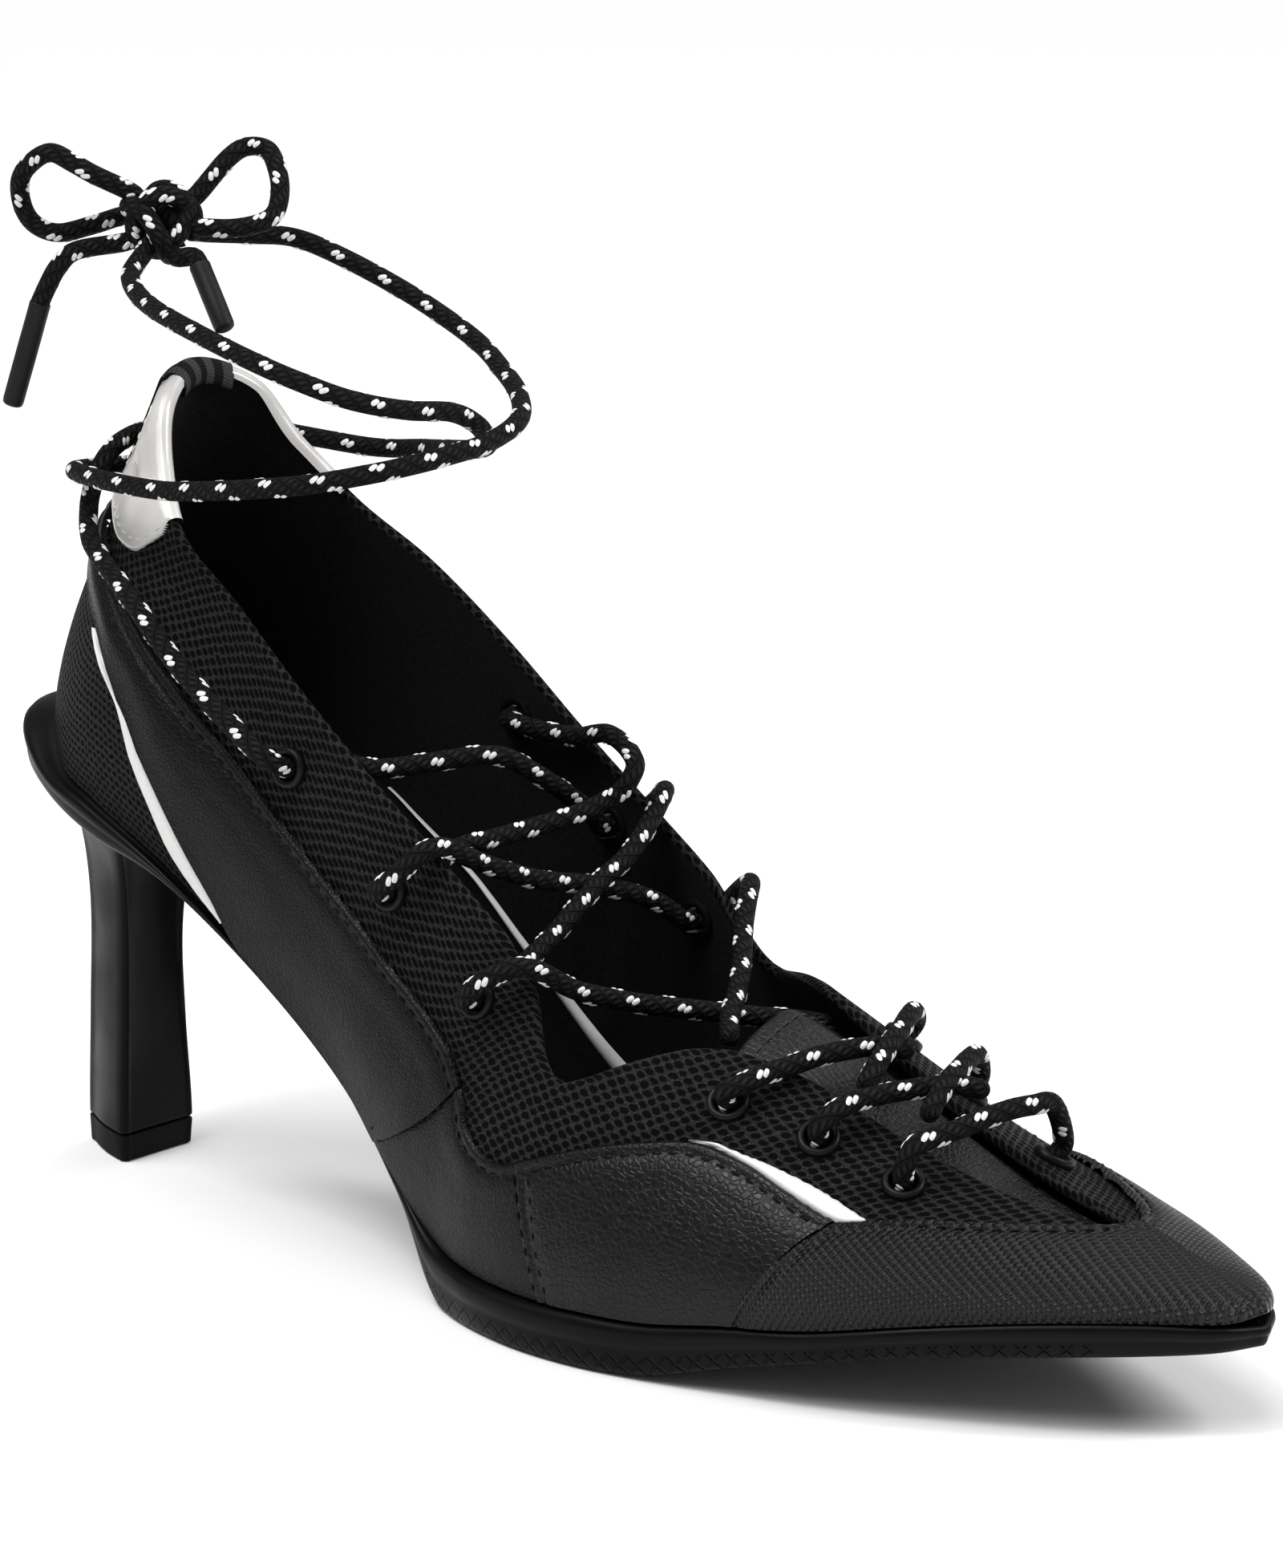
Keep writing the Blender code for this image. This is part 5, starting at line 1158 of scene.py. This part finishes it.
def make_tongue():
    table = smooth_line(TONGUE, 8)
    ribs, depth = table[:, 0], table[:, 3]
    count = 22
    layers, lines = [], []
    for side in (-1, 1):
        edge = table[:, 1 if side < 0 else 2]
        t = np.linspace(0, 1, count + 1)[None]
        share = edge[:, None] + (1 - edge[:, None]) * t
        rib = ribs[:, None] + 0 * share
        n = normal(rib, np.clip(share, 0, 0.96), side)
        crest = normal(ribs, np.full(len(ribs), 0.96), -1)
        crest[:, 1] = 0
        crest = unit(crest)
        n = unit(n * (1 - t[..., None]**2) + crest[:, None] * t[..., None]**2)
        top = surface(rib, share, side)
        middle = (surface(ribs, np.ones(len(ribs)), -1) + surface(ribs, np.ones(len(ribs)), 1)) / 2
        blend = (t**4)[..., None]
        top = top * (1 - blend) + middle[:, None] * blend
        face = top - n * depth[:, None, None]
        soft = 0.0005 * np.sin(np.pi * np.clip((ribs - 12.2) / 3.6, 0, 1))[:, None] * (t**2)
        face = face + n * soft[..., None]
        along = unit(face[0] - face[4])
        radius = 0.0009
        turn = np.stack([face[0] + along * radius * np.sin(a) - n[0] * radius * (1 - np.cos(a))
                         for a in np.linspace(np.pi, 0, 7)])
        face = np.concatenate([turn[:-1], face])
        rib_all = np.concatenate([np.repeat(ribs[:1], 6), ribs])
        share_all = np.concatenate([np.repeat(share[:1], 6, 0), share])
        places = flat(rib_all[:, None], share_all, side)
        layers.append((face, places, 0, side > 0))
        inset = np.searchsorted(run_lengths(face[6:, 10])[1:], TONGUE_STITCH_INSET)
        lines.append((face[6 + inset], n[min(inset, len(n) - 1)]))
    piece = put("tongue_leather", grids_mesh("tongue_leather", layers, 0.00005), [TONGUE_HIDE],
                ["tongue"], 70)
    outer, inner = lines
    path = np.vstack([outer[0][:-1], inner[0][::-1]])
    ups = np.vstack([outer[1][:-1], inner[1][::-1]])
    arch = np.array([-0.00012, 0.00012, 0.0002, 0.00012, -0.00012])
    stitches = stitch_row(path, ups, 0.0023, 0.0016, 0.0002, arch)
    put("tongue_stitching", grids_mesh("tongue_stitching", stitches), [GREY_STITCH])
    return piece


# Eyelets


def eyelet_place(number, side):
    row = EYELETS[number - 1]
    rib, share = (row[0], row[1]) if side < 0 else (row[2], row[3])
    point = surface(np.array(rib), np.array(share), side)
    return point, normal(np.array(rib), np.array(share), side)


def make_eyelets():
    """Wide matte rings with a barrel and a washer inside."""
    profile = [(0.00205, -0.0024), (0.00205, 0.0006), (0.00211, 0.00092), (0.00230, 0.00116),
               (0.00262, 0.00124), (0.00290, 0.00118), (0.00310, 0.00098), (0.00322, 0.0006),
               (0.00324, 0.0000), (0.00300, -0.0004), (0.00240, -0.0006), (0.00240, -0.0019),
               (0.00310, -0.00195), (0.00328, -0.00215), (0.00322, -0.00245), (0.00290, -0.00262),
               (0.00240, -0.00262), (0.00205, -0.0024)]
    turns = np.linspace(0, 2 * np.pi, 41)
    for number in range(1, 7):
        for side, word in ((-1, "outer"), (1, "inner")):
            point, axis = eyelet_place(number, side)
            a = unit(np.cross(axis, (0.3, 0.1, 1.0)))
            b = np.cross(axis, a)
            ring = round_about(a, b, turns)
            grid = np.stack([point + axis * h + ring * r for r, h in profile], 1)
            places = pair(turns[:, None], np.arange(len(profile))[None] * 1.0)
            mesh = grids_mesh("eyelet_ring", [(grid, places, 0, True)])
            put("eyelet_ring_{}_{}".format(word, number), mesh, [EYELET_BLACK],
                ["eyelet_{}_{}".format(word, number)], 40)


# Laces


def fleck_layers(path, phase):
    """Pairs of slanted white yarn ends that wind round the lace a quarter turn at a time."""
    _, a, b = tube_frames(path)
    lengths = run_lengths(path)
    layers = []
    total = lengths[-1]
    k = 0
    while True:
        start = 0.0022 + (k + phase) * 0.00214
        if start > total - 0.0018:
            break
        turn = 0.18 + 0.25 * k + 0.015 * math.sin(k * 2.3)
        for shift in (-1, 1):
            s = np.linspace(-1, 1, 7)[:, None]
            w = np.linspace(-1, 1, 5)[None]
            round_off = np.sqrt(np.clip(1 - 0.75 * np.abs(s)**3, 0.1, 1))
            long, wide = 0.00072 * s, 0.00040 * w * round_off
            u = start + shift * 0.00050 + long * 0.78 + wide * 0.55
            arc = shift * 0.00012 - long * 0.62 + wide * 0.84
            angle = 2 * np.pi * turn + arc / LACE_RADIUS
            centre = read_line(u, lengths, path)
            sa = unit(read_line(u, lengths, a))
            sb = unit(read_line(u, lengths, b))
            puff = 0.00015 * (1 - w * w) * (1 - s * s)
            height = LACE_RADIUS + puff + 0.00002
            ring = round_about(sa, sb, angle)
            points = centre + ring * (height + 0 * u)[..., None]
            places = pair(u * MM, angle / (2 * np.pi))
            layers.append((points, places, 1, False))
        k += 1
    return layers


def lace_piece(name, route, node):
    """A length of lace with its flecks."""
    path = even_line(smooth_line(route, 10), LACE_STEP)
    layers = [rounded_tube(path, LACE_RADIUS, LACE_SIDES, 0, 0.0, LACE_CAP)]
    layers += fleck_layers(path, 0.0)
    return put(name, grids_mesh(name, layers), [BRAID, FLECK], [node], 80)


def eyelet_end(end):
    """Points that bring a lace through an eyelet, from the side that it starts on."""
    if end is None:
        return []
    side_name, number, face = end
    point, axis = eyelet_place(number, -1 if side_name == "outer" else 1)
    if face == "in":
        return [tuple(point + axis * 0.0004), tuple(point - axis * 0.0038)]
    return [tuple(point - axis * 0.0016), tuple(point + axis * 0.0006), tuple(point + axis * 0.0034)]


def knot_end(direction):
    """Points that bring a lace out of the knot."""
    if direction is None:
        return []
    along = Vector(direction).normalized()
    reach = 1 / math.sqrt(sum((part / radius)**2 for part, radius in zip(along, KNOT_RADII)))
    start = Vector(KNOT_CENTRE) + along * reach * 0.45
    middle = Vector(KNOT_CENTRE) + along * (reach + 0.0004)
    return [tuple(start), tuple(middle), tuple(middle + along * 0.0020)]


def make_laces():
    pieces = {}
    for name, strands in LACES.items():
        for index, (a, middle, b) in enumerate(strands):
            route = eyelet_end(a) + middle + eyelet_end(b)[::-1]
            key = name if len(strands) == 1 else name + ("_first", "_second")[index]
            pieces[key] = (lace_piece(key + "_braid", route, name), route)
    for name, route in TIES.items():
        first, last = KNOT_ENDS[name]
        whole = knot_end(first) + route + knot_end(last)[::-1]
        if name.startswith("ankle_tie_"):
            whole = eyelet_end((name[len("ankle_tie_"):], 1, "out"))[:2] + whole
        pieces[name] = (lace_piece(name + "_braid", whole, name), whole)
    return pieces


KNOT_WRAPS = [
    [(-4.6, -2.4, 1.2), (-3.2, -4.6, 2.6), (0.0, -5.2, 2.4), (2.6, -4.8, -0.4), (3.6, -3.6, -3.6),
     (2.0, -1.0, -5.2), (-0.6, 1.6, -4.6)],
    [(3.8, 2.0, 2.0), (3.2, -1.6, 4.4), (1.0, -4.2, 3.8), (-1.6, -4.8, 0.8), (-2.2, -3.8, -2.6),
     (-1.0, -1.2, -4.6), (0.6, 2.0, -4.4)],
    [(-4.2, 1.4, -1.0), (-3.6, 0.6, 2.8), (-1.2, 0.4, 4.8), (1.6, 1.4, 4.4), (3.8, 2.6, 1.6),
     (4.2, 2.0, -1.6)],
    [(-3.8, -1.4, -2.6), (-1.4, -3.4, -3.6), (1.8, -3.2, -3.4), (4.4, -1.2, -1.6), (4.4, 0.8, 1.8)],
]


def make_knot():
    """The bow's knot: the lace laid over and round itself."""
    core = np.array([(KNOT_CENTRE[0] + x, 0.0003, KNOT_CENTRE[2] + x * 0.3)
                     for x in np.linspace(-0.0018, 0.0018, 7)])
    layers = [rounded_tube(core, 0.0027, 16, 0, 0.0, 6)]
    for index, wrap in enumerate(KNOT_WRAPS):
        route = [(KNOT_CENTRE[0] + x / 1000, KNOT_CENTRE[1] + y / 1000, KNOT_CENTRE[2] + z / 1000)
                 for x, y, z in wrap]
        path = even_line(smooth_line(route, 10), 0.0005)
        layers.append(rounded_tube(path, LACE_RADIUS, LACE_SIDES, 0, index * 2.9, LACE_CAP))
        layers += fleck_layers(path, 0.3 + 0.2 * index)
    return put("bow_knot_wraps", grids_mesh("bow_knot_wraps", layers), [BRAID, FLECK], ["bow_knot"], 80)


def make_aglets():
    pieces = {}
    for name, ends in AGLETS.items():
        a, b = np.array(ends[0]), np.array(ends[1])
        along = unit(b - a)
        reach = np.linalg.norm(b - a)
        stations = [(-0.0003, 0.00155), (-0.0002, 0.00168), (0.0001, 0.00172), (0.0006, 0.0017),
                    (reach * 0.5, 0.00172), (reach - 0.0009, 0.00170), (reach - 0.0003, 0.00158),
                    (reach - 0.00005, 0.00125), (reach, 0.0007), (reach, 0.00002)]
        path = np.array([a + along * s for s, _ in stations])
        side = unit(np.cross(along, (0.0, 0.0, 1.0)))
        other = np.cross(along, side)
        turns = np.linspace(0, 2 * np.pi, 29)
        ring = round_about(side, other, turns)
        grid = np.stack([p + ring * r for p, (_, r) in zip(path, stations)])
        places = pair(np.arange(len(path))[:, None] * 1.0, turns[None])
        pieces[name] = put(name + "_sleeve", grids_mesh(name, [(grid, places, 0, False)]),
                           [AGLET_GREY], [name], 40)
    return pieces


# Sole, heel and sock

RIM = [
    (-0.60, 0.0, -0.06), (0.00, 0.0, -0.02), (0.30, 0.0, 0.00), (0.60, 0.0, 0.005),
    (0.84, 0.0, 0.05), (0.97, 0.0, 0.15), (1.00, 0.0, 0.27), (0.99, 0.10, 0.38),
    (0.98, 0.45, 0.45), (1.00, 0.62, 0.50), (1.00, 0.60, 0.58), (1.00, 0.70, 0.74),
    (1.00, 0.95, 0.88), (1.00, 1.35, 0.96), (1.00, 1.9, 1.00), (1.00, 3.2, 1.00),
]


def make_sole():
    ribs = np.unique(np.concatenate([np.linspace(0, 1, 21), np.linspace(1, 18, 205),
                                     np.linspace(18, 19, 21)]))
    layers = []
    bottoms = {}
    for side in (-1, 1):
        base = feather(ribs, side)
        out = outward(ribs, side)
        overhang = LIP_OVERHANG * column(SOLE, 1, ribs)
        drop = LIP_DROP * column(SOLE, 2, ribs)
        bottom = SEAT_HEIGHT * np.maximum(column(SOLE, 3, ribs), 0.0)
        top = base[:, 2] - drop
        thick = np.maximum(top - bottom, 0.0)
        small = np.clip(thick / 0.004, 0.25, 1.0)
        points = []
        for reach, inset, share in RIM:
            p = base + out * (reach * overhang - inset * RIM_INSET * small)[:, None]
            p[:, 2] = top - GAP + share * (bottom - top + GAP)
            points.append(p)
        grid = np.stack(points, 1)
        grid[:, 0, 2] = base[:, 2]
        around = row_lengths(grid)
        u = np.interp(ribs, RIBS, REACH[side]) * MM
        places = pair(u[:, None], (around[:, -1:] - around) * MM)
        middle = (ribs[:-1] + ribs[1:]) / 2
        worn = (middle > TREAD_START) & (middle < RIM_TREAD_END)
        low_rim = np.arange(len(RIM) - 1) >= RIM_TREAD_ROW
        kind = np.where(worn[:, None] & low_rim[None], 1, 0)
        layers.append((grid, places, kind, side < 0))
        bottoms[side] = grid[:, -1]
    w = np.linspace(0, 1, 17)
    under = bottoms[-1][:, None] * (1 - w[None, :, None]) + bottoms[1][:, None] * w[None, :, None]
    places = under[..., :2] * MM
    middle = (ribs[:-1] + ribs[1:]) / 2
    kind = np.where((middle > TREAD_START) & (middle < TREAD_END), 1, 0)[:, None]
    layers.append((under, places, kind, True))
    mesh = grids_mesh("sole_rubber", layers, 0.00003)
    shape = bmesh.new()
    shape.from_mesh(mesh)
    bmesh.ops.recalc_face_normals(shape, faces=shape.faces)
    shape.to_mesh(mesh)
    shape.free()
    return put("sole_rubber", mesh, [SOLE_RUBBER, TREAD], ["outsole"], 50)


def underside(x):
    """Height of the sole's underside at a place along the shoe, ribs up to 9."""
    ribs = np.linspace(0, 9, 400)
    best = None
    for side in (-1, 1):
        base = feather(ribs, side)
        out = outward(ribs, side)
        overhang = LIP_OVERHANG * column(SOLE, 1, ribs)
        px = base[:, 0] + out[:, 0] * (overhang - RIM_LAST_INSET * RIM_INSET)
        z = SEAT_HEIGHT * np.maximum(column(SOLE, 3, ribs), 0.0)
        order = np.argsort(px)
        found = np.interp(x, px[order], z[order])
        best = found if best is None else np.minimum(best, found)
    return best


def heel_values(share):
    return [column(HEEL, c, share) for c in range(1, 6)]


def heel_outline(share, base):
    """One level of the heel column: a dished breast with a raised rim down its edges."""
    front, back, front_half, back_half, dish = (float(v) for v in heel_values(np.array(share)))
    front *= HEEL_TIP_HALF_LENGTH
    back *= HEEL_TIP_HALF_LENGTH
    front_half *= HEEL_TIP_HALF_WIDTH
    back_half *= HEEL_TIP_HALF_WIDTH
    dish = max(dish * BREAST_DISH, 0.0)
    lip = min(0.00045, 0.3 * dish + 0.00012)
    half = [(front - dish - lip, 0.0), (front - 0.97 * dish - lip, 0.20 * front_half),
            (front - 0.82 * dish - lip, 0.42 * front_half), (front - 0.52 * dish - lip, 0.62 * front_half),
            (front - 0.25 * dish - lip, 0.76 * front_half), (front - 0.10 * dish - lip, 0.835 * front_half),
            (front - 0.05 * dish, 0.865 * front_half), (front, 0.90 * front_half),
            (front - 0.0001, 0.945 * front_half), (front - 0.0005, 0.985 * front_half),
            (front - 0.0011, front_half)]
    start, end = (front - 0.0011, front_half), (back + 0.0016, back_half)
    for t in (0.15, 0.32, 0.5, 0.68, 0.85):
        bow = 0.0006 * math.sin(math.pi * t)
        half.append((start[0] + (end[0] - start[0]) * t, start[1] + (end[1] - start[1]) * t + bow))
    half += [(back + 0.0016, back_half), (back + 0.0007, 0.9 * back_half), (back + 0.0002, 0.7 * back_half),
             (back, 0.4 * back_half), (back, 0.0)]
    outline = half + [(x, -y) for x, y in half[-2:0:-1]] + [half[0]]
    x = np.array([p[0] for p in outline])
    y = np.array([p[1] for p in outline])
    z = base + share * (underside(x) + HEEL_OVERRUN - base)
    return np.stack([x, y, z], 1)


def make_heel():
    shares = np.concatenate([[0.0, 0.002, 0.006], np.linspace(0.012, 1.0, 90)])
    base = LIFT_HEIGHT + GAP
    rings = []
    for k, share in enumerate(shares):
        ring = heel_outline(share, base)
        if k < 2:
            ring[:, :2] *= (0.965, 0.985)[k]
        rings.append(ring)
    points = np.stack(rings)
    around = run_lengths(points[0]) * MM
    places = pair(around[None], points[..., 2] * MM)
    layers = [(points, places, 0, False)]
    flange_ribs = np.linspace(2.2, 5.2, 60)
    thickness = np.interp(flange_ribs, [r for r, _ in HEEL_FLANGE], [t for _, t in HEEL_FLANGE])
    thickness[-6:] = np.linspace(thickness[-7], 0.0, 6)
    rows = []
    for side in (-1, 1):
        b = feather(flange_ribs, side)
        out = outward(flange_ribs, side)
        reach = LIP_OVERHANG * column(SOLE, 1, flange_ribs) - RIM_LAST_INSET * RIM_INSET
        p = b + out * reach[:, None]
        p[:, 2] = SEAT_HEIGHT * column(SOLE, 3, flange_ribs)
        rows.append(p)
    outer, inner = rows
    across = unit(outer - inner)
    outer, inner = outer - across * (FLANGE_INSET - 0.0006), inner + across * (FLANGE_INSET - 0.0006)
    up = np.array((0.0, 0.0, 1.0))
    section = []
    for w, h in ((0.0, 0.6), (0.0, -0.5), (0.006, -0.8), (0.02, -0.96), (0.05, -1.0), (0.5, -1.0),
                 (0.95, -1.0), (0.98, -0.96), (0.994, -0.8), (1.0, -0.5), (1.0, 0.6)):
        section.append(outer * (1 - w) + inner * w + up * (h * thickness - 0.0001)[:, None])
    flange = np.stack(section, 1)
    flange_places = flange[..., :2] * MM
    layers.append((flange, flange_places, 0, True))
    mesh = grids_mesh("heel_column", layers)
    put("heel_column", mesh, [HEEL_BLACK], ["heel"], 50)
    lift = []
    for z, scale in ((-0.00001, 0.0), (0.0, 0.945), (0.0001, 0.965), (0.0004, 0.972), (0.0022, 0.985),
                     (LIFT_HEIGHT - 0.0003, 1.0), (LIFT_HEIGHT - 0.00005, 0.993),
                     (LIFT_HEIGHT, 0.97), (LIFT_HEIGHT, 0.0)):
        ring = heel_outline(0.0, 0.0)
        ring[:, :2] *= scale
        ring[:, 2] = max(z, 0.0)
        lift.append(ring)
    lift = np.stack(lift)
    places = lift[..., ::2] * MM
    put("top_lift_rubber", grids_mesh("top_lift_rubber", [(lift, places, 0, False)], 0.000002),
        [LIFT_RUBBER], ["heel_top_lift"], 40)


def make_sock():
    """Insole over the sole, with a white piping along its inner edge."""
    ribs = np.linspace(0.35, 16.5, 190)
    w = np.linspace(0, 1, 19)
    edges = {}
    for side in (-1, 1):
        e = feather(ribs, side)
        out = outward(ribs, side)
        edges[side] = e - out * (WALL + 0.0004) + np.array((0, 0, 0.0031))
    crown = -0.0009 * np.sin(np.pi * w)[None, :, None] * np.array((0, 0, 1.0))
    top = edges[-1][:, None] * (1 - w[None, :, None]) + edges[1][:, None] * w[None, :, None] + crown
    places = top[..., :2] * MM
    put("sock_lining", grids_mesh("sock_lining", [(top, places, 0, False)]), [SOCK], ["insole"], 70)
    layers = []
    for side in (-1, 1):
        line = smooth_line(INSIDE_PIPING, 8)
        half = 0.00012 + 0.0011 * np.clip((line[:, 0] - 4.0) / 3.2, 0, 1)
        p = surface(line[:, 0], line[:, 1], side)
        n = normal(line[:, 0], line[:, 1], side)
        along = unit(np.gradient(p, axis=0))
        across = np.cross(along, n)
        flatness = np.linspace(-1, 1, 7)
        grid = np.stack([p - n * (WALL + 0.0001 + 0.0006 * (1 - f * f)) + across * (half * f)[:, None]
                         for f in flatness], 1)
        places = pair(line[:, :1] * 10, flatness[None])
        layers.append((grid, places, 0, side < 0))
    put("inside_piping", grids_mesh("inside_piping", layers), [WHITE])


# Camera, light and floor


# The photo's camera, solved from the floor contacts: pixels, degrees and millimetres
PHOTO_HEIGHT = 1955
FOCAL_PIXELS = 7051.0
CAMERA_TURNS = (40.37, 13.0, 0.17)
CAMERA_AIM = (100, 0, 60)
CAMERA_SHIFT = (-8.44, -15.79)
CAMERA_DISTANCE = 858.7
SENSOR_HEIGHT = 36


def make_camera():
    phi, elevation, roll = (math.radians(v) for v in CAMERA_TURNS)
    aim = Vector(CAMERA_AIM)
    back = Vector((math.sin(phi) * math.cos(elevation), -math.cos(phi) * math.cos(elevation),
                   math.sin(elevation)))
    right = Vector((math.cos(phi), math.sin(phi), 0))
    up = back.cross(right)
    across = right * math.cos(roll) + up * math.sin(roll)
    above = -right * math.sin(roll) + up * math.cos(roll)
    place = (aim - across * CAMERA_SHIFT[0] - above * CAMERA_SHIFT[1] + back * CAMERA_DISTANCE) / MM
    matrix = Matrix((across, above, back)).transposed().to_4x4()
    matrix.translation = place
    data = bpy.data.cameras.new("photo_camera")
    data.sensor_fit = "VERTICAL"
    data.sensor_height = SENSOR_HEIGHT
    data.lens = FOCAL_PIXELS * SENSOR_HEIGHT / PHOTO_HEIGHT
    camera = bpy.data.objects.new("photo_camera", data)
    camera.matrix_world = matrix
    bpy.context.scene.collection.objects.link(camera)
    bpy.context.scene.camera = camera


def sun_light(name, toward, power, angle):
    data = bpy.data.lights.new(name, "SUN")
    data.energy = power
    data.angle = math.radians(angle)
    lamp = bpy.data.objects.new(name, data)
    lamp.location = Vector(toward) * 0.8
    lamp.rotation_euler = Vector(toward).to_track_quat("Z", "Y").to_euler()
    bpy.context.scene.collection.objects.link(lamp)


def area_light(name, place, target, size, power):
    data = bpy.data.lights.new(name, "AREA")
    data.shape = "RECTANGLE"
    data.size, data.size_y = size
    data.energy = power
    lamp = bpy.data.objects.new(name, data)
    lamp.location = place
    lamp.rotation_euler = (Vector(target) - Vector(place)).to_track_quat("-Z", "Y").to_euler()
    bpy.context.scene.collection.objects.link(lamp)


def make_stage():
    shape = bmesh.new()
    bmesh.ops.create_grid(shape, x_segments=2, y_segments=2, size=6.0)
    mesh = bpy.data.meshes.new("floor")
    shape.to_mesh(mesh)
    shape.free()
    floor = bpy.data.objects.new("floor", mesh)
    bpy.context.scene.collection.objects.link(floor)
    m = Maker("floor_paper", (0.90, 0.90, 0.90), 0.75, 0.2)
    m.bump(m.noise(m.here(), 0.3, 2.0), 0.00002)
    mesh.materials.append(m.material)
    floor.location = (0.1, 0, -0.0002)
    world = bpy.data.worlds.new("studio")
    world.use_nodes = True
    world.node_tree.nodes["Background"].inputs[0].default_value = (1.0, 1.0, 1.0, 1.0)
    world.node_tree.nodes["Background"].inputs[1].default_value = 0.32
    bpy.context.scene.world = world
    bpy.context.scene.view_settings.view_transform = "Standard"
    sun_light("key", (-0.116, -0.459, 1.0), 2.2, 55)
    sun_light("rim", (0.057, 0.705, 0.8), 0.6, 40)
    area_light("front", (0.0, -0.62, 1.25), (0.1, 0, 0.05), (0.40, 0.30), 6.5)
    area_light("back_right", (0.80, 0.40, 0.75), (0.12, 0, 0.05), (0.30, 0.50), 6)


def declare_cords(laces):
    """Measure each lace's length and, for the longer ones, build an even path along it, which is not kept.
    """
    for name, (piece, route) in laces.items():
        length = line_length(smooth_line(route, 10))
        if length < SHORTEST_CORD:
            continue
        path = even_line(smooth_line(route, 10), LACE_STEP)
        [tuple(p) for p in path]


make_camera()
make_stage()
make_upper()
make_panels()
make_stitches()
make_ribbon()
make_tongue()
make_eyelets()
lace_pieces = make_laces()
aglet_pieces = make_aglets()
knot_piece = make_knot()
make_sole()
make_heel()
make_sock()
declare_cords(lace_pieces)
